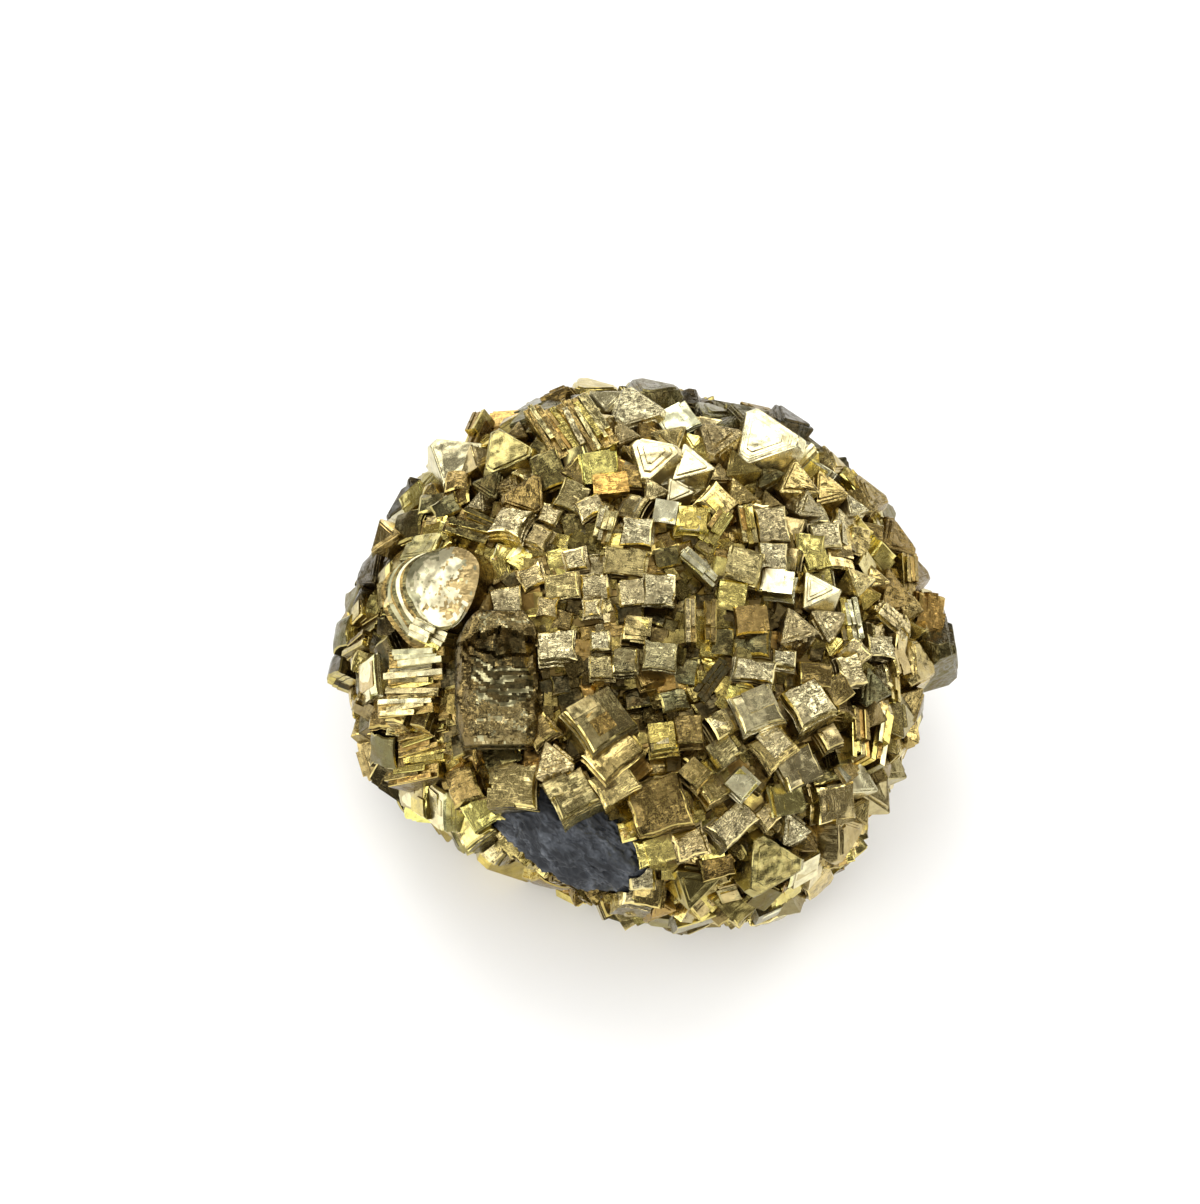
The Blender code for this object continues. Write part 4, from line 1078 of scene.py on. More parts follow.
def shield_outline(grown, wave):
    """Shares of half a width that a rounded three-sided plate reaches, side by side."""
    for k in range(SHIELD_SIDES):
        a = 2 * math.pi * k / SHIELD_SIDES
        bulge = SHIELD_BULGE * math.cos(3 * (a - SHIELD_CORNER))
        reach = grown * (1 + bulge + SHIELD_WAVER * math.cos(7 * a + wave)) / 2
        yield math.cos(a) * reach, math.sin(a) * reach


def shield_shapes(width, length, rise, look, chance):
    """Rounded three-sided plates, stacked, each smaller than the one under it and set to one side; the top
    one is pitted and stained."""
    below = len(SHIELD_LOOKS)
    for i, layer_look in enumerate(SHIELD_LOOKS):
        deep = below - i
        drift = SHIELD_DRIFT * deep
        sides = shield_outline(1 + SHIELD_WIDENING * deep + chance.uniform(-SHIELD_STRAY, SHIELD_STRAY), i)
        outline = [(x * width + drift.x, y * length + drift.y) for x, y in sides]
        high = rise - SHIELD_LAYER * deep
        yield leaning(prism(outline, -ROOT, high), (0, 0), high, chance, SHIELD_LEAN), layer_look

    mesh = bmesh.new()
    sides = list(shield_outline(1, 3))
    rings = []
    for ring in range(SHIELD_RINGS, 0, -1):
        share = ring / SHIELD_RINGS
        spots = [Vector((x * width * share, y * length * share, rise)) for x, y in sides]
        for spot in spots:
            pits = layered(spot / MM, SHIELD_PITS)
            spot.z += SHIELD_PITTED * pits - SHIELD_ROUNDED * share ** 6
        rings.append([mesh.verts.new(spot) for spot in spots])
    top = mesh.verts.new((0, 0, rise))
    foot = [mesh.verts.new((vert.co.x, vert.co.y, -ROOT)) for vert in rings[0]]
    for upper, lower in zip([*rings[1:], None], rings):
        for k in range(SHIELD_SIDES):
            m = (k + 1) % SHIELD_SIDES
            corners = (lower[k], lower[m], upper[m], upper[k]) if upper else (lower[k], lower[m], top)
            face = mesh.faces.new(corners)
            middle = face.calc_center_median() / MM
            stain = middle.x / (width / MM) + layered(middle, SHIELD_STAINS)
            vein = abs(noise.noise(middle * 0.8 + Vector((9, 0, 0))))
            plain = vein < VEIN or stain < UNSTAINED_BELOW
            face.material_index = 1 if plain else 2 if stain > STAINED_ABOVE else 0
    walled(mesh, rings[0], foot, 3)
    mesh.faces.new(reversed(foot))
    yield mesh, ("plate", "plate edge", "stain", "brown")


def barrel_shapes(width, length, rise, look, chance):
    """A thick upright block: a dark hollow with curved terraces under it, a pitted near end, ribbed sides."""
    offset = Vector((2.3, 8.1, 0))

    def terrace(x, y):
        smile = y - BARREL_SMILE * (x - 0.08 * width) ** 2 / MM + BARREL_LOWEST
        waver = layered(Vector((x, y, 0)) / MM, BARREL_WAVER) * MM
        return min(BARREL_STEPS, max(0.0, (smile - waver) / BARREL_PITCH))

    def brow(x, y):
        return y > length * 0.36 - abs(x) * 0.35 + 0.5 * MM * noise.noise(Vector((x, y, 0)) / MM * 0.7)

    def height_at(x, y):
        place = Vector((x, y, 0)) / MM
        deep = 0.0 if brow(x, y) else terrace(x, y)
        down = (math.floor(deep) + min(1, (deep % 1) * 2.2)) * BARREL_STEP
        rough = layered(place, BARREL_ROUGH) * (0.4 if deep else 1)
        left = max(0.0, -x / (width / 2) - 0.45) / 0.55
        right = max(0.0, x / (width / 2) - 0.5) / 0.5
        near = max(0.0, abs(y) / (length / 2) - 0.8) / 0.2
        ribbed = 0.2 * MM * math.sin(x / MM * 6.5 + noise.noise(place * 0.35 + offset) * 4)
        ribbed = ribbed * max(left, right)
        fall = left * left * 1.6 + right * right * 1.6 + near * near * 1.2
        facets = 0.5 * MM * abs(noise.noise(Vector((place.x * 0.6, place.y * 0.25, 3)))) if deep > 3 else 0
        return rise - down + rough + ribbed + facets - fall * MM

    def look_at(x, y):
        place = Vector((x, y, 0)) / MM
        ragged = noise.noise(place * 0.8 + offset) * 0.12
        if not -0.3 + ragged < x / width < 0.34 + ragged:
            return 1
        deep = 0.0 if brow(x, y) else terrace(x, y)
        speck = noise.noise(place * 1.1) + 0.6 * noise.noise(place * 4 + offset)
        # Painted shade: the deep hollow under the brow is painted near black and dark brown.
        if deep > 3.3 + ragged * 4:
            return 1 if noise.noise(Vector((place.x * 1.6 + place.y * 0.5, place.y * 0.5, 3))) > 0.12 else 0
        # Painted glint and shade: each terrace's step is pale, its flat near black.
        if deep:
            return 3 if deep % 1 < 0.46 else 0
        return 4 if speck > 0.55 else 3 if speck > 0.35 else 2 if speck > -0.2 else 1

    rings = ((-0.1 * MM, 0), (0, 0.12 * MM), (0.05 * MM, 1.6 * MM), (0.15 * MM, 1.7 * MM),
             (0.15 * MM, 2 * ROOT))
    segments = (round(width / BARREL_GRID), round(length / BARREL_GRID))

    def narrowing(v):
        waver = 0.07 * noise.noise(Vector((v * 3.2, 7, 0))) + 0.02 * noise.noise(Vector((v * 11, 7, 0)))
        return 1 + waver - 0.5 * max(0.0, (v - 0.35) / 0.65) ** 2 - 0.2 * max(0.0, (-v - 0.4) / 0.6) ** 2

    made = raised_block(width, length, segments, height_at, rings, None, look_at, narrowing)
    yield made, ("hollow", "streaked", "earthy", "plate edge", "silver")


# Each form's shapes are made from its width, length, rise, look and draws.
SHAPES = {
    "block": block_shapes,
    "point": point_shapes,
    "slab": slab_shapes,
    "ladder": ladder_shapes,
    "shield": shield_shapes,
    "barrel": barrel_shapes,
}


def marked(mesh, number):
    """Gives every face of a cutter or of the core its number, and an empty facet map."""
    layer = mesh.faces.layers.int.new("crystal")
    mesh.loops.layers.uv.new("facet")
    for face in mesh.faces:
        face[layer] = number
    return mesh


def boolean(target, operation, tool=None, tools=None):
    """Joins a collection of closed shapes to the target, or cuts it with one."""
    modifier = target.modifiers.new(operation.lower(), "BOOLEAN")
    modifier.operation = operation
    modifier.solver = "MANIFOLD"
    if tools:
        modifier.operand_type = "COLLECTION"
        modifier.collection = tools
    else:
        modifier.object = tool


def largest_island(skin):
    """Drops sealed hollows and crumbs, so that one closed skin is left."""
    left, islands = set(skin.verts), []
    while left:
        reached = [left.pop()]
        island = list(reached)
        while reached:
            vert = reached.pop()
            for edge in vert.link_edges:
                other = edge.other_vert(vert)
                if other in left:
                    left.discard(other)
                    reached.append(other)
                    island.append(other)
        islands.append(island)
    largest = max(islands, key=len)
    spare = [vert for island in islands if island is not largest for vert in island]
    bmesh.ops.delete(skin, geom=spare, context="VERTS")


def strays(right, up, outwards):
    """Whether the crystals at a place stand awry: at the show side's top and right and round its edge."""
    return up > POINTS_ABOVE or right > POINTS_RIGHT_OF or outwards.dot(SHOW_OUT) < STEADY_ABOVE


def stray_turn(chance, most):
    """A small turn about any axis."""
    return Euler(three_draws(chance, most)).to_matrix().to_4x4()


class Crystal(NamedTuple):
    """A crystal that has been grown: its form, its place, its look."""
    form: str
    matrix: Matrix
    look: str


def nearest_of(grown):
    """A search for the crystal that stands nearest to a point."""
    search = KDTree(len(grown))
    for i, crystal in enumerate(grown):
        search.insert(crystal.matrix.translation, i)
    search.balance()
    return search


def lesser_places(tree, taken, grown):
    """Smaller crystals between those of the solids, each parallel to the nearest, where they find room."""
    chance = random.Random(SEED + 3)
    nearest = nearest_of(grown)
    for way in spiral_ways(LESSER_TRIES, chance):
        point, normal, _, _ = tree.ray_cast(CORE_MIDDLE, way)
        right, up = seen_at(point)
        stray = strays(right, up, way)
        width = chance.uniform(*LESSER_WIDTH) * (STRAY_SWELL if stray else 1)
        rise = width * chance.uniform(*(STRAY_RISE if stray else LESSER_RISE))
        if normal.dot(SHOW_OUT) > EDGE and in_rock_window(right, up):
            continue
        if crowded(point, width * MM, taken, LESSER_SPACING):
            continue
        taken.append((point, width * MM))
        parent = grown[nearest.find(point)[1]]
        turn = stray_turn(chance, STRAY_LEAN if stray else LESSER_LEAN)
        matrix = Matrix.Translation(point) @ parent.matrix.to_3x3().to_4x4() @ turn
        form = "point" if parent.form == "point" else "block"
        middling = UPPER_LESSER_LOOKS if up > BRIGHTER_ABOVE else MIDDLE_LESSER_LOOKS
        look = chance.choice(MIXES[parent.look] + (parent.look,) if stray else middling)
        yield form, matrix, width * MM, width * MM * chance.uniform(*LESSER_LENGTH), rise * MM, look


def fused_crystals(tree, core):
    """The cluster's skin, every crystal with its growth steps, and the list of the crystals."""
    shapes = bpy.data.collections.new("crystal shapes")
    stray_chance = random.Random(SEED + 4)
    grown, taken = [], []

    def grow(form, matrix, width, length, rise, look):
        chance = random.Random(f"{SEED} {form} {len(taken)}")
        outwards = (matrix.translation - CORE_MIDDLE).normalized().dot(SHOW_OUT)
        extra = {"coarse": BACK_COARSENESS} if form == "block" and outwards < 0 else {}
        numbers = {}
        for made in SHAPES[form](width, length, rise, look, chance, **extra):
            mesh, looks = made if isinstance(made, tuple) else (made, look)
            looks = looks if isinstance(looks, tuple) else (looks,)
            for own_look in looks:
                if own_look not in numbers:
                    grown.append(Crystal(form, matrix, own_look))
                    numbers[own_look] = len(grown)
            closed_shape(mesh, [numbers[own_look] for own_look in looks], matrix, shapes)

    for form, matrix, width, length, rise, look in set_places(tree):
        taken.append((matrix.translation.copy(), (width + length) / 2))
        upright = matrix.col[2].to_3d()
        parallel = max(upright.dot(way) for way in PARALLEL_WAYS.values()) > 0.999
        if form in ("block", "point", "slab") and not parallel:
            most = AWRY if upright.dot(SHOW_OUT) < FACES_EYE else STEADY
            matrix = matrix @ stray_turn(stray_chance, most)
        grow(form, matrix, width, length, rise, look)
    for form, matrix, width, length, rise, look in fill_places(tree, taken):
        right, up = seen_at(matrix.translation)
        if strays(right, up, (matrix.translation - CORE_MIDDLE).normalized()):
            width, length = width * STRAY_SWELL, length * STRAY_SWELL
            matrix = matrix @ stray_turn(stray_chance, AWRY)
        grow(form, matrix, width, length, rise, look)
    for place in lesser_places(tree, taken, list(grown)):
        grow(*place)

    cluster = new_object("crystals", marked(core, 0))
    pocket = new_object("pocket", marked(rock_lump(tree, POCKET_SUBDIVISIONS, ROCK_SEAM), CUT))
    underside = bmesh.new()
    bmesh.ops.create_cube(underside, size=UNDERSIDE_CUT)
    bmesh.ops.translate(underside, verts=underside.verts, vec=(0, 0, -UNDERSIDE_CUT / 2))
    under = new_object("under", marked(underside, CUT))
    boolean(cluster, "UNION", tools=shapes)
    boolean(cluster, "DIFFERENCE", tool=pocket)
    boolean(cluster, "DIFFERENCE", tool=under)
    data = evaluated_mesh(cluster)
    for spare in (cluster, pocket, under, *shapes.objects):
        bpy.data.objects.remove(spare)
    bpy.data.collections.remove(shapes)
    skin = bmesh.new()
    skin.from_mesh(data)
    largest_island(skin)
    cluster = new_object("brassy_crystals", skin)
    cluster.data.shade_smooth()
    cluster.data.set_sharp_from_angle(angle=SHARP_FROM)
    return cluster, grown


def evaluated_mesh(made):
    """A plain mesh of an object as its modifiers leave it."""
    graph = bpy.context.evaluated_depsgraph_get()
    return bpy.data.meshes.new_from_object(made.evaluated_get(graph))


def face_values(data, name):
    """A face attribute as an array."""
    values = np.zeros(len(data.polygons), np.int32)
    data.attributes[name].data.foreach_get("value", values)
    return values


def write_values(data, name, kind, domain, values, field="value"):
    """An attribute from an array."""
    layer = data.attributes.new(name, kind, domain)
    layer.data.foreach_set(field, np.ascontiguousarray(values, np.float32).ravel())


def own_ways(data, grown, whose):
    """Each face's direction in its own crystal's axes."""
    normals = np.zeros(len(data.polygons) * 3, np.float32)
    data.polygons.foreach_get("normal", normals)
    axes = np.array([np.eye(3)] + [np.array(crystal.matrix.to_3x3()) for crystal in grown])
    return np.einsum("nji,nj->ni", axes[whose], normals.reshape(-1, 3))


def shelter(data):
    """How little each point sees of what is round it: 0 in the open, 1 down a crevice."""
    spots = [vert.co for vert in data.vertices]
    tree = BVHTree.FromPolygons(spots, [face.vertices for face in data.polygons])
    ways = [spiral_way(i, SHELTER_RAYS) for i in range(SHELTER_RAYS)]
    found = []
    for vert in data.vertices:
        normal = vert.normal
        start = vert.co + normal * SHELTER_START
        open_ways = [(way, way.dot(normal)) for way in ways]
        open_ways = [(way, facing) for way, facing in open_ways if facing > SHELTER_STEEPNESS]
        shut = sum(facing for way, facing in open_ways if tree.ray_cast(start, way, SHELTER_REACH)[0])
        found.append(shut / sum(facing for _, facing in open_ways))
    return np.array(found)


def crystal_finishes(grown):
    """Each crystal's tint, and its marks: polish, ribbing, a draw and satin. The core comes first."""
    chance = random.Random(SEED + 2)
    tints = [LOOKS["brown"][0]]
    marks = [CORE_MARKS]
    for crystal in grown:
        colour, polish, ribbing, satin = LOOKS[crystal.look]
        shade = chance.uniform(*SHADES)
        warm = chance.uniform(-WARMTH, WARMTH)
        tints.append((colour[0] * shade * (1 + warm), colour[1] * shade, colour[2] * shade * (1 - 2 * warm)))
        marks.append((min(1, polish * chance.uniform(*SHADES)), ribbing, chance.random(), satin))
    return np.array(tints), np.array(marks)


def paint_crystals(cluster, grown):
    """Writes what the finishes and the gap crystals read: tint, look, shelter, and the rest."""
    data = cluster.data
    numbers = face_values(data, "crystal")
    tints, marks = crystal_finishes(grown)
    whose = np.clip(numbers, 0, None)
    forms = np.array([""] + [crystal.form for crystal in grown])[whose]
    ways = own_ways(data, grown, whose)
    sides = np.rint(ways * SIDE_SPREAD).astype(int) + SIDE_STEPS // 2
    draws = np.random.default_rng(SEED).random((len(grown) + 1) * SIDE_STEPS ** 3)
    draw = draws[((whose * SIDE_STEPS + sides[:, 0]) * SIDE_STEPS + sides[:, 1]) * SIDE_STEPS + sides[:, 2]]
    # Painted light: sides mostly darkened as shade, some gilded as reflection; edges lightened as highlight.
    blunt = np.isin(forms, ("block", "slab", "ladder"))
    edge = blunt & (np.abs(ways).max(axis=1) < EDGE_BELOW)
    side = blunt & ~edge & (ways[:, 2] < SIDE_BELOW)
    painted_lit_side = side & (draw > PAINTED_SHADE_SIDES)

    def drawn(lowest, span):
        return lowest + span * draw

    shades = np.where(forms == "point", drawn(*POINT_SHADES), drawn(*TOP_SHADES))
    shades = np.where(side, np.where(painted_lit_side, drawn(*PAINTED_LIT_SIDE_SHADES), drawn(*PAINTED_SIDE_SHADES)), shades)
    shades = np.where(edge, PAINTED_EDGE_HIGHLIGHT, shades)
    painted_reflection = np.where(painted_lit_side, PAINTED_SIDE_REFLECTION, np.where(edge, PAINTED_EDGE_REFLECTION, 0.0))[:, None]
    colours = (tints[whose] * (1 - painted_reflection) + np.array(LOOKS["gold"][0]) * painted_reflection) * shades[:, None]
    face_marks = marks[whose]
    face_marks[:, 0] = np.where(edge, EDGE_POLISH, face_marks[:, 0])
    write_values(data, "tint", "FLOAT_COLOR", "FACE", with_alpha(np.minimum(colours, LIGHTEST)), "color")
    write_values(data, "look", "FLOAT_COLOR", "FACE", face_marks, "color")
    write_values(data, "shelter", "FLOAT", "POINT", shelter(data))
    mark_bare_core(data, numbers, grown, tints, colours)


def with_alpha(colours):
    """Opaque colours."""
    return np.hstack([colours, np.ones((len(colours), 1))])


def mark_bare_core(data, numbers, grown, tints, colours):
    """Marks where the core still shows, with the turn, the form and the tint of the crystal nearest to it."""
    nearest = nearest_of(grown)
    count = len(data.polygons)
    bare, eight_sided = np.zeros(count), np.zeros(count)
    turns, shaded_near_tints = np.zeros((count, 3)), colours.copy()
    for face in data.polygons:
        if numbers[face.index] != 0 or face.center.z < GAP_FLOOR:
            continue
        _, i, _ = nearest.find(face.center)
        bare[face.index] = 1
        turns[face.index] = grown[i].matrix.to_euler()
        eight_sided[face.index] = grown[i].form == "point"
        # The nearest crystal's tint, darkened as painted shade in the gap.
        shaded_near_tints[face.index] = tints[i + 1] * GAP_SHADE
    write_values(data, "bare", "FLOAT", "FACE", bare)
    write_values(data, "way", "FLOAT_VECTOR", "FACE", turns, "vector")
    write_values(data, "eight_sided", "FLOAT", "FACE", eight_sided)
    write_values(data, "shaded_near_tint", "FLOAT_COLOR", "FACE", with_alpha(shaded_near_tints), "color")


def keep_inside(data):
    """Presses the outermost points back to the box of the solids."""
    places = np.zeros(len(data.vertices) * 3, np.float32)
    data.vertices.foreach_get("co", places)
    lowest, highest = SOLIDS_BOX
    data.vertices.foreach_set("co", np.clip(places.reshape(-1, 3), lowest, highest).ravel())
    data.update()


# ---------------------------------------------------------------- node trees

class Wiring:
    """Adds nodes to a tree and joins them, so that a tree reads as a list of steps."""

    def __init__(self, tree):
        self.tree = tree

    def join(self, value, socket):
        """Joins another node's output to an input, or sets the input to a value."""
        if isinstance(value, bpy.types.NodeSocket):
            self.tree.links.new(value, socket)
        else:
            socket.default_value = value

    def add(self, kind, inputs=None, **settings):
        """A node with its settings, and its inputs set to values or joined to other nodes' outputs."""
        node = self.tree.nodes.new(kind)
        for name, value in settings.items():
            setattr(node, name, value)
        for name, value in (inputs or {}).items():
            self.join(value, node.inputs[name])
        return node

    def math(self, operation, *values):
        """One step of arithmetic."""
        return self.add("ShaderNodeMath", dict(enumerate(values)), operation=operation).outputs[0]

    def times(self, first, second):
        """Two numbers multiplied."""
        return self.math("MULTIPLY", first, second)

    def vector_math(self, operation, *values):
        """One step of arithmetic with vectors."""
        return self.add("ShaderNodeVectorMath", dict(enumerate(values)), operation=operation).outputs[0]

    def scaled(self, vector, scale):
        """A vector made longer or shorter."""
        return self.add("ShaderNodeVectorMath", {0: vector, "Scale": scale}, operation="SCALE").outputs[0]

    def vector(self, *parts):
        """A vector from its parts."""
        return self.add("ShaderNodeCombineXYZ", dict(enumerate(parts))).outputs[0]

    def colour_mix(self, share, first, second):
        """Two colours mixed by a share."""
        return self.add("ShaderNodeMix", {0: share, 6: first, 7: second}, data_type="RGBA").outputs[2]

    def range(self, value, low, high, to_low=0.0, to_high=1.0, kind="LINEAR"):
        """A value carried from one range to another and kept inside it."""
        inputs = {0: value, 1: low, 2: high, 3: to_low, 4: to_high}
        return self.add("ShaderNodeMapRange", inputs, interpolation_type=kind).outputs[0]

    def noise(self, place, scale, detail=2.0, roughness=0.5, distortion=0.0):
        """A cloudy pattern: its strength, then its colour."""
        inputs = {"Vector": place, "Scale": scale, "Detail": detail, "Roughness": roughness,
                  "Distortion": distortion}
        return self.add("ShaderNodeTexNoise", inputs).outputs

    def cells(self, place, scale, randomness):
        """Square cells, each with a colour of its own."""
        inputs = {"Vector": place, "Scale": scale, "Randomness": randomness}
        return self.add("ShaderNodeTexVoronoi", inputs, distance="CHEBYCHEV").outputs["Color"]

    def bump(self, height, strength, distance, normal=None):
        """The surface's normal, or the one given, tipped by a height."""
        inputs = {"Height": height, "Strength": strength, "Distance": distance}
        if normal is not None:
            inputs["Normal"] = normal
        return self.add("ShaderNodeBump", inputs).outputs[0]

    def attribute(self, name):
        """What the mesh holds under a name."""
        return self.add("ShaderNodeAttribute", attribute_name=name).outputs

    def object_place(self):
        """Where a point is on its piece."""
        return self.add("ShaderNodeTexCoord").outputs["Object"]

    def place(self, group, **inputs):
        """A shared group with its own values: what it puts out."""
        return self.add("ShaderNodeGroup", inputs, node_tree=group).outputs


def node_group(name, kind, inputs, outputs):
    """A node group with named sockets: its tree, its wiring, what it is given and what it puts out."""
    group = bpy.data.node_groups.new(name, kind)
    for label, socket, value in inputs:
        made = group.interface.new_socket(label, in_out="INPUT", socket_type="NodeSocket" + socket)
        if value is not None:
            made.default_value = value
    for label, socket in outputs:
        group.interface.new_socket(label, in_out="OUTPUT", socket_type="NodeSocket" + socket)
    w = Wiring(group)
    return group, w, w.add("NodeGroupInput").outputs, w.add("NodeGroupOutput").inputs


def shifted_map(w, given, most):
    """A group's map, moved by its offset, so that the pattern differs from crystal to crystal."""
    shift = w.times(given["Offset"], most)
    return w.vector_math("ADD", given["Map"], w.vector(shift, shift, shift))


def growth_ribs_group():
    """Striations: uneven fine ridges along one direction of a map, stepped like growth."""
    group, w, given, out = node_group(
        "growth ribs", "ShaderNodeTree",
        (("Map", "Vector", None), ("Pitch", "Float", 4.0), ("Stretch", "Float", 0.12),
         ("Offset", "Float", 0.0)),
        (("Height", "Float"), ("Ridge", "Float")))
    apart = w.add("ShaderNodeSeparateXYZ", {0: given["Map"]}).outputs
    across = w.times(apart[0], given["Pitch"])
    along = w.times(apart[1], w.times(given["Pitch"], given["Stretch"]))
    ridges = w.noise(w.vector(across, along, w.times(given["Offset"], 47.0)), 1.0, 3.0, 0.62)[0]
    stepped = w.math("SNAP", ridges, 0.09)
    w.join(w.math("MULTIPLY_ADD", stepped, 0.7, w.times(ridges, 0.3)), out["Height"])
    w.join(w.range(ridges, 0.42, 0.62), out["Ridge"])
    return group


def growth_plates_group():
    """Pitting: little square plates and pits of uneven height, with grains between them."""
    group, w, given, out = node_group(
        "growth plates", "ShaderNodeTree",
        (("Map", "Vector", None), ("Density", "Float", 2.0), ("Offset", "Float", 0.0)),
        (("Height", "Float"), ("Pit", "Float")))
    moved = shifted_map(w, given, 31.0)
    plates = [w.cells(moved, w.times(given["Density"], share), 0.85) for share in (1.0, 2.3)]
    coarse, fine = (w.add("ShaderNodeSeparateColor", {0: plate}).outputs[0] for plate in plates)
    grains = w.noise(moved, w.times(given["Density"], 5.0))[0]
    both = w.math("MULTIPLY_ADD", coarse, 0.6, w.times(fine, 0.4))
    w.join(w.math("MULTIPLY_ADD", grains, 0.25, both), out["Height"])
    w.join(w.range(both, 0.34, 0.16), out["Pit"])
    return group


def glitter_group():
    """Glitter: little square facets, each tipped its own way."""
    group, w, given, out = node_group(
        "glitter", "ShaderNodeTree",
        (("Map", "Vector", None), ("Density", "Float", 3.0), ("Tilt", "Float", 0.3),
         ("Offset", "Float", 0.0)),
        (("Normal", "Vector"),))
    moved = shifted_map(w, given, 53.0)
    normal = w.add("ShaderNodeNewGeometry").outputs["Normal"]
    for density, tilt in ((1.0, 1.0), (0.37, 0.6)):
        cells = w.cells(moved, w.times(given["Density"], density), 0.8)
        tip = w.scaled(w.vector_math("SUBTRACT", cells, (0.5, 0.5, 0.5)), w.times(given["Tilt"], tilt))
        normal = w.vector_math("ADD", normal, tip)
    w.join(w.vector_math("NORMALIZE", normal), out["Normal"])
    return group


def stain_and_shade_group():
    """Painted crevice shade and stains: deep brown where the metal is sheltered, in patches, and stains."""
    group, w, given, out = node_group(
        "stain_and_shade", "ShaderNodeTree",
        (("Metal", "Color", None), ("Stain and shade colour", "Color", (0.17, 0.11, 0.034, 1)), ("Shelter", "Float", 0.0),
         ("Place", "Vector", None)),
        (("Color", "Color"), ("Amount", "Float")))
    patches = w.range(w.noise(given["Place"], 420.0, 3.0)[0], 0.3, 0.65, 0.7, 1.0)
    stain = w.range(w.noise(given["Place"], 700.0, 4.0, 0.65)[0], 0.42, 0.75, 0.0, 0.6)
    # The shelter is painted in as shade in the crevices; the stain patches are the metal's own.
    amount = w.math("MAXIMUM", w.times(w.range(given["Shelter"], 0.25, 0.85), patches), stain)
    w.join(w.colour_mix(amount, given["Metal"], given["Stain and shade colour"]), out["Color"])
    w.join(amount, out["Amount"])
    return group


def new_material(name):
    """A material, its wiring and its Principled shader's sockets."""
    made = bpy.data.materials.new(name)
    made.use_nodes = True
    return made, Wiring(made.node_tree), made.node_tree.nodes["Principled BSDF"].inputs


def crystal_material(groups):
    """Brassy metal: own tint and polish, ribbed, pitted and stained, with painted shade in pits and crevices.
    """
    made, w, shader = new_material("brassy_crystal")
    look = w.attribute("look")
    polish, ribbing, offset = w.add("ShaderNodeSeparateColor", {0: look["Color"]}).outputs
    rough = w.math("SUBTRACT", 1.0, polish)
    facet = w.add("ShaderNodeUVMap", uv_map="facet").outputs[0]
    place = w.object_place()
    ribs = w.place(groups["ribs"], Map=facet, Pitch=3.2, Stretch=0.1, Offset=offset)
    plates = w.place(groups["plates"], Map=facet, Density=1.9, Offset=offset)
    stain_and_shade = w.place(groups["stain_and_shade"], Metal=w.attribute("tint")["Color"],
                      Shelter=w.attribute("shelter")["Fac"], Place=place)
    glitter = w.place(groups["glitter"], Map=facet, Density=2.3, Offset=offset,
                      Tilt=w.range(rough, 0.45, 0.78, *GLITTER_TILT))

    # Painted shade: pits and ribs are darkened towards the pit and rib shade colour.
    pits = w.times(plates["Pit"], w.times(rough, 0.55))
    stripes = w.times(ribs["Ridge"], w.times(ribbing, 0.35))
    shaded = w.colour_mix(w.math("ADD", pits, stripes), stain_and_shade["Color"], PIT_AND_RIB_SHADE_COLOUR)
    w.join(shaded, shader["Base Color"])
    blur = w.math("ADD", w.range(polish, 0.2, 1.0, *METAL_ROUGHNESS), look["Alpha"])
    w.join(w.math("ADD", blur, w.times(stain_and_shade["Amount"], 0.18)), shader["Roughness"])
    w.join(1.0, shader["Metallic"])

    waves = w.bump(w.noise(place, 0.55 / MM, 1.0)[0], 1.0, 0.2 * MM, glitter[0])
    ripple = w.noise(w.vector_math("MULTIPLY", facet, (0.8, 2.6, 1.0)), 1.0, 2.5, 0.6, 0.4)[0]
    ripples = w.bump(w.times(ripple, w.range(rough, 0.4, 0.8, 0.05, 0.8)), 1.0, 0.2 * MM, waves)
    raised = w.math("ADD", w.times(ribs["Height"], w.times(ribbing, 1.6)),
                    w.times(plates["Height"], w.range(rough, 0.0, 1.0, 0.08, 0.5)))
    w.join(w.bump(raised, 0.7, 0.05 * MM, ripples), shader["Normal"])
    return made


def gap_crystal_material(groups):
    """The metal of the crystals in the gaps between the large ones."""
    made, w, shader = new_material("gap_brassy_crystal")
    place = w.object_place()
    in_mm = w.vector_math("MULTIPLY", place, (1 / MM, 1 / MM, 1 / MM))
    plates = w.place(groups["plates"], Map=in_mm, Density=3.0, Offset=0.3)
    # Painted shade: the gap crystals are darkened as if half sheltered, and stained like the rest.
    stain_and_shade = w.place(groups["stain_and_shade"], Metal=w.attribute("tint")["Color"], Shelter=0.5, Place=place)
    glitter = w.place(groups["glitter"], Map=in_mm, Density=2.4, Tilt=0.14, Offset=0.6)
    w.join(stain_and_shade["Color"], shader["Base Color"])
    w.join(w.range(plates["Pit"], 0.0, 1.0, 0.18, 0.4), shader["Roughness"])
    w.join(1.0, shader["Metallic"])
    w.join(w.bump(plates["Height"], 0.5, 0.03 * MM, glitter[0]), shader["Normal"])
    return made


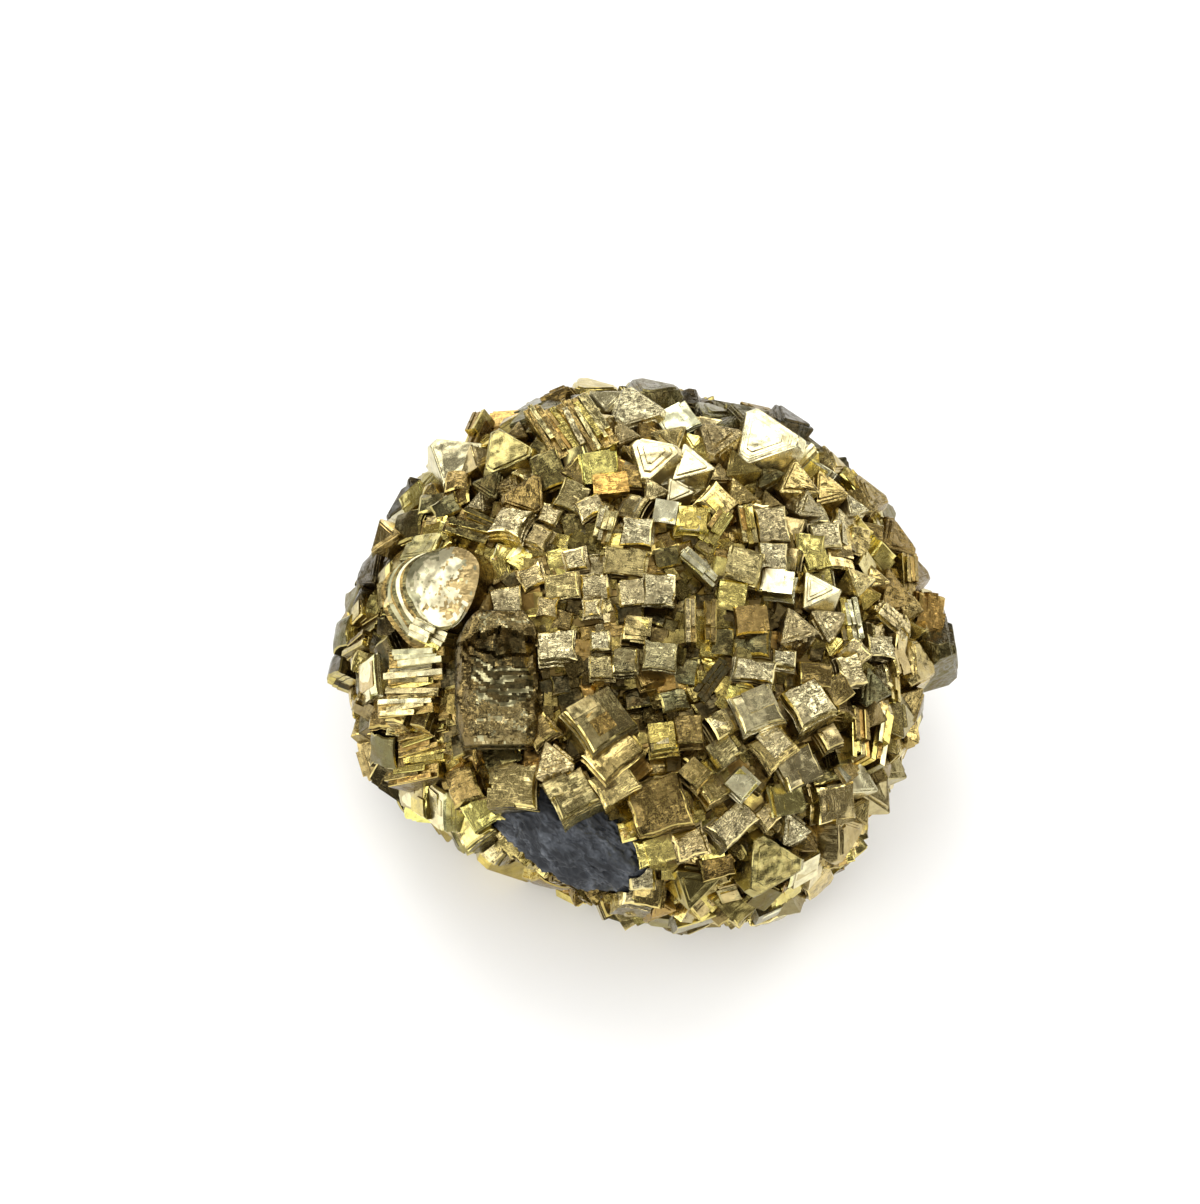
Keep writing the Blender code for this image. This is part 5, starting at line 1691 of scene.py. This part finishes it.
def rock_material(groups):
    """Dark blue-grey host rock with a silky, fibrous grain."""
    made, w, shader = new_material("dark_host_rock")
    place = w.object_place()
    turned = w.add("ShaderNodeMapping", {"Vector": place, "Scale": (MM, MM, MM),
                                         "Rotation": (0, 0, FIBRE_SLANT)}, vector_type="TEXTURE").outputs[0]
    apart = w.add("ShaderNodeSeparateXYZ", {0: turned}).outputs
    bends = w.vector_math("MULTIPLY", w.noise(place, 260.0, 3.0)[1], (2.4, 2.4, 2.4))
    bent = w.vector_math("ADD", w.vector(apart[1], apart[0], apart[2]), bends)
    fibres = w.place(groups["ribs"], Map=bent, Pitch=1.5, Stretch=0.25, Offset=0.4)
    plates = w.place(groups["plates"], Map=turned, Density=1.2, Offset=0.7)
    clouds = w.range(w.noise(place, 210.0, 5.0, 0.65)[0], 0.35, 0.6, 0.8, 0.0)
    # Painted shade in the pits, with darker clouds of the rock's own.
    dim = w.math("MAXIMUM", w.times(plates["Pit"], 0.6), clouds)
    grey = w.colour_mix(fibres["Ridge"], *ROCK_COLOURS)
    w.join(w.colour_mix(dim, grey, ROCK_DARK_AND_PIT_SHADE_COLOUR), shader["Base Color"])
    w.join(w.range(fibres["Ridge"], 0.0, 1.0, 0.62, 0.36), shader["Roughness"])
    w.join(w.times(fibres["Ridge"], 0.55), shader["Metallic"])
    w.join(w.bump(fibres["Height"], 0.9, 0.12 * MM), shader["Normal"])
    return made


def named(w, name, data_type):
    """A named attribute of the geometry."""
    return w.add("GeometryNodeInputNamedAttribute", {"Name": name}, data_type=data_type).outputs[0]


def shares_of(w, size, shares):
    """Geometry Nodes: a vector of shares of a size."""
    return w.vector(*(w.times(size, share) for share in shares))


def cube(w, sides):
    """Geometry Nodes: a box by its sides."""
    return w.add("GeometryNodeMeshCube", {"Size": sides}).outputs[0]


def stepped_cube(w, size, chamfer):
    """Geometry Nodes: a cube with its edges off, and thinner ones grown through it."""
    short = w.math("SUBTRACT", size, w.times(chamfer, 2.0))
    boxes = w.add("GeometryNodeJoinGeometry")
    for axis in range(3):
        w.join(cube(w, w.vector(*(short if i == axis else size for i in range(3)))), boxes.inputs[0])
    whole = w.add("GeometryNodeJoinGeometry")
    w.join(w.add("GeometryNodeConvexHull", {0: boxes.outputs[0]}).outputs[0], whole.inputs[0])
    for shares, place in CUBE_GROWTHS:
        moved = w.add("GeometryNodeTransform", {"Geometry": cube(w, shares_of(w, size, shares)),
                                                "Translation": shares_of(w, size, place)})
        w.join(moved.outputs[0], whole.inputs[0])
    return whole.outputs[0]


def eight_sided_crystal(w, size):
    """Geometry Nodes: an eight-sided crystal on its triangular face, with a smaller one grown through it."""
    lay_down = Vector((1, 1, 1)).rotation_difference(Vector((0, 0, 1))).to_euler()
    whole = w.add("GeometryNodeJoinGeometry")
    for share, lift in POINT_CUBES:
        cut = w.add("GeometryNodeDualMesh", {0: cube(w, shares_of(w, size, (share,) * 3))}).outputs[0]
        laid = w.add("GeometryNodeTransform", {"Geometry": cut, "Rotation": lay_down,
                                               "Translation": shares_of(w, size, (0, 0, lift))})
        w.join(laid.outputs[0], whole.inputs[0])
    return whole.outputs[0]


def gap_crystals_tree():
    """Geometry Nodes: crystals on the bare core, each parallel to the large one that it is nearest to."""
    group, w, given, out = node_group(
        "gap crystals", "GeometryNodeTree",
        (("Surface", "Geometry", None), ("Spacing", "Float", GAP_SPACING), ("Size", "Float", GAP_SIZE),
         ("Smallest", "Float", GAP_SCALE[0]), ("Largest", "Float", GAP_SCALE[1]),
         ("Lowest rise", "Float", GAP_RISE[0]), ("Highest rise", "Float", GAP_RISE[1]),
         ("Chamfer", "Float", CHAMFER), ("Lean", "Float", GAP_LEAN),
         ("Gold", "Color", (*LOOKS["gold"][0], 1)), ("Seed", "Int", SEED), ("Material", "Material", None)),
        (("Gap crystals", "Geometry"),))

    def chance(kind, low, high, offset):
        first, second, output = {"FLOAT_VECTOR": (0, 1, 0), "FLOAT": (2, 3, 1)}[kind]
        seed = w.math("ADD", given["Seed"], float(offset))
        inputs = {first: low, second: high, "Seed": seed}
        return w.add("FunctionNodeRandomValue", inputs, data_type=kind).outputs[output]

    kinds = w.add("GeometryNodeGeometryToInstance")
    w.join(eight_sided_crystal(w, given["Size"]), kinds.inputs[0])
    w.join(stepped_cube(w, given["Size"], given["Chamfer"]), kinds.inputs[0])
    where = {"Mesh": given["Surface"], "Distance Min": given["Spacing"], "Density Max": GAP_DENSITY,
             "Density Factor": named(w, "bare", "FLOAT"), "Seed": given["Seed"]}
    spread = w.add("GeometryNodeDistributePointsOnFaces", where, distribute_method="POISSON").outputs
    scale = chance("FLOAT", given["Smallest"], given["Largest"], 1)
    rise = chance("FLOAT", given["Lowest rise"], given["Highest rise"], 2)
    sunk = w.math("SUBTRACT", rise, w.times(scale, w.times(given["Size"], 0.5)))
    offset = w.scaled(spread["Normal"], sunk)
    points = w.add("GeometryNodeSetPosition", {"Geometry": spread[0], "Offset": offset}).outputs[0]
    lean = w.scaled(chance("FLOAT_VECTOR", (-1, -1, -1), (1, 1, 1), 3), given["Lean"])
    turn = w.vector_math("ADD", lean, named(w, "way", "FLOAT_VECTOR"))
    pick = w.math("GREATER_THAN", named(w, "eight_sided", "FLOAT"), 0.5)
    strewn = w.add("GeometryNodeInstanceOnPoints", {
        "Points": points, "Instance": kinds.outputs[0], "Pick Instance": True, "Instance Index": pick,
        "Rotation": turn, "Scale": scale}).outputs[0]
    # A share of gold over the darkened tint: a painted golden reflection from the crystals round them.
    metal = w.colour_mix(chance("FLOAT", 0.0, 0.45, 4), named(w, "shaded_near_tint", "FLOAT_COLOR"), given["Gold"])
    tinted = w.add("GeometryNodeStoreNamedAttribute", {"Geometry": strewn, "Name": "tint", "Value": metal},
                   data_type="FLOAT_COLOR", domain="INSTANCE").outputs[0]
    real = w.add("GeometryNodeRealizeInstances", {0: tinted}).outputs[0]
    finished = w.add("GeometryNodeSetMaterial", {"Geometry": real, "Material": given["Material"]}).outputs[0]
    w.join(finished, out[0])
    return group


def set_inputs(modifier, values):
    """Sets a Geometry Nodes modifier's named inputs by their sockets' identifiers."""
    for item in modifier.node_group.interface.items_tree:
        if item.item_type == "SOCKET" and item.in_out == "INPUT" and item.name in values:
            modifier[item.identifier] = values[item.name]


def gap_crystals(cluster, material):
    """The gap crystals as one plain mesh."""
    surface = linked("gap_surface", cluster.data.copy())
    modifier = surface.modifiers.new("gap crystals", "NODES")
    modifier.node_group = gap_crystals_tree()
    set_inputs(modifier, {"Material": material})
    data = evaluated_mesh(surface)
    bpy.data.objects.remove(surface)
    return linked("gap_crystals", data)


# ---------------------------------------------------------------- the host rock

def rock_lump(tree, subdivisions, swollen=0.0, fibres=0.0):
    """The lump of host rock, a rough ellipsoid sunk in the core, with fibres raised on it."""
    point, normal = on_core(tree, *ROCK_MIDDLE)
    matrix = standing(point - normal * ROCK_DEPTH, normal, math.degrees(ROCK_SLANT))
    lump = bmesh.new()
    bmesh.ops.create_icosphere(lump, subdivisions=subdivisions, radius=1)
    slant = Matrix.Rotation(-FIBRE_TURN, 3, "Z")
    for vert in lump.verts:
        way = vert.co.normalized()
        rough = ROCK_ROUGHNESS * noise.noise(way * ROCK_GRAIN)
        place = Vector(w * (r + rough + swollen) for r, w in zip(ROCK_RADII, way))
        if fibres:
            grain = slant @ (place / MM)
            grain.y += 0.9 * noise.noise(grain * 0.45)
            stretched = Vector(g * fine for g, fine in zip(grain, FIBRE_FINENESS))
            ridge = 1 - abs(noise.noise(stretched)) * 2
            fine = 1 - abs(noise.noise(stretched * 2.7 + Vector((5, 5, 5)))) * 2
            crumbs = layered(place / MM, ROCK_CRUMBS)
            place -= way * fibres * (1.3 - ridge * 0.6 - fine * 0.4 + crumbs * 0.7)
        vert.co = matrix @ place
    return lump


# ---------------------------------------------------------------- the studio

def floor_material():
    """A pale, matt, very slightly mottled tabletop."""
    made, w, shader = new_material("pale_tabletop")
    mottle = w.noise(w.object_place(), 9.0)[0]
    w.join(w.colour_mix(mottle, *FLOOR_COLOURS), shader["Base Color"])
    w.join(0.9, shader["Roughness"])
    w.join(0.1, shader["Specular IOR Level"])
    return made


def studio_light(name, way, size, brightness):
    """A soft square panel that faces the cluster, as bright to look at as given."""
    data = bpy.data.lights.new(name, "AREA")
    data.shape = "SQUARE"
    data.size = size
    data.energy = brightness * math.pi * size * size
    lamp = linked(name, data)
    way = Vector(way).normalized()
    lamp.location = CORE_MIDDLE + way * PANEL_DISTANCE
    lamp.rotation_euler = way.to_track_quat("Z", "Y").to_euler()


def dim_room():
    """The room's even light: dimmer for what the metal mirrors, and dimmest in front."""
    world = bpy.data.worlds.new("dim room")
    world.use_nodes = True
    w = Wiring(world.node_tree)
    background = world.node_tree.nodes["Background"].inputs
    way = w.add("ShaderNodeSeparateXYZ", {0: w.add("ShaderNodeTexCoord").outputs["Generated"]}).outputs
    for_metal = w.range(way[1], -0.2, -0.75, ROOM_FOR_METAL, ROOM_FRONT, "SMOOTHSTEP")
    is_glossy = w.add("ShaderNodeLightPath").outputs["Is Glossy Ray"]
    w.join(w.range(is_glossy, 0.0, 1.0, ROOM_FOR_MATT, for_metal), background["Strength"])
    w.join(w.colour_mix(is_glossy, *ROOM_COLOURS), background["Color"])
    return world


def studio():
    """The floor, the panels, the dim room and the camera."""
    scene = bpy.context.scene
    plane = bmesh.new()
    bmesh.ops.create_grid(plane, x_segments=1, y_segments=1, size=FLOOR_REACH)
    new_object("tabletop", plane, floor_material())
    for panel in PANELS:
        studio_light(*panel)
    scene.world = dim_room()
    scene.view_settings.view_transform = "Standard"

    lens = bpy.data.cameras.new("camera")
    lens.lens = LENS
    lens.sensor_width = 36
    lens.sensor_fit = "HORIZONTAL"
    lens.clip_start = 0.01
    camera = linked("camera", lens)
    camera.location = EYE
    camera.rotation_euler = (on_show_side(*AIM) - EYE).to_track_quat("-Z", "Y").to_euler()
    scene.camera = camera


# ---------------------------------------------------------------- the cluster

def finish_piece(piece, node):
    """A finished piece rides on the cluster's only body and stands for its solid."""
    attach(piece, "root")
    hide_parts(node)


def dress():
    """The crystals, the small crystals and the host rock."""
    groups = {"ribs": growth_ribs_group(), "plates": growth_plates_group(), "glitter": glitter_group(),
              "stain_and_shade": stain_and_shade_group()}
    core = core_mesh()
    tree = BVHTree.FromBMesh(core)
    crystals, grown = fused_crystals(tree, core)
    keep_inside(crystals.data)
    paint_crystals(crystals, grown)
    gaps = gap_crystals(crystals, gap_crystal_material(groups))
    keep_inside(gaps.data)
    crystals.data.materials.append(crystal_material(groups))
    rock = new_object("host_rock_surface", rock_lump(tree, ROCK_SUBDIVISIONS, fibres=FIBRE_HEIGHT),
                      rock_material(groups))
    rock.data.shade_smooth()
    finish_piece(crystals, "crystal_cluster")
    finish_piece(gaps, "crystal_cluster")
    finish_piece(rock, "host_rock")


dress()
studio()
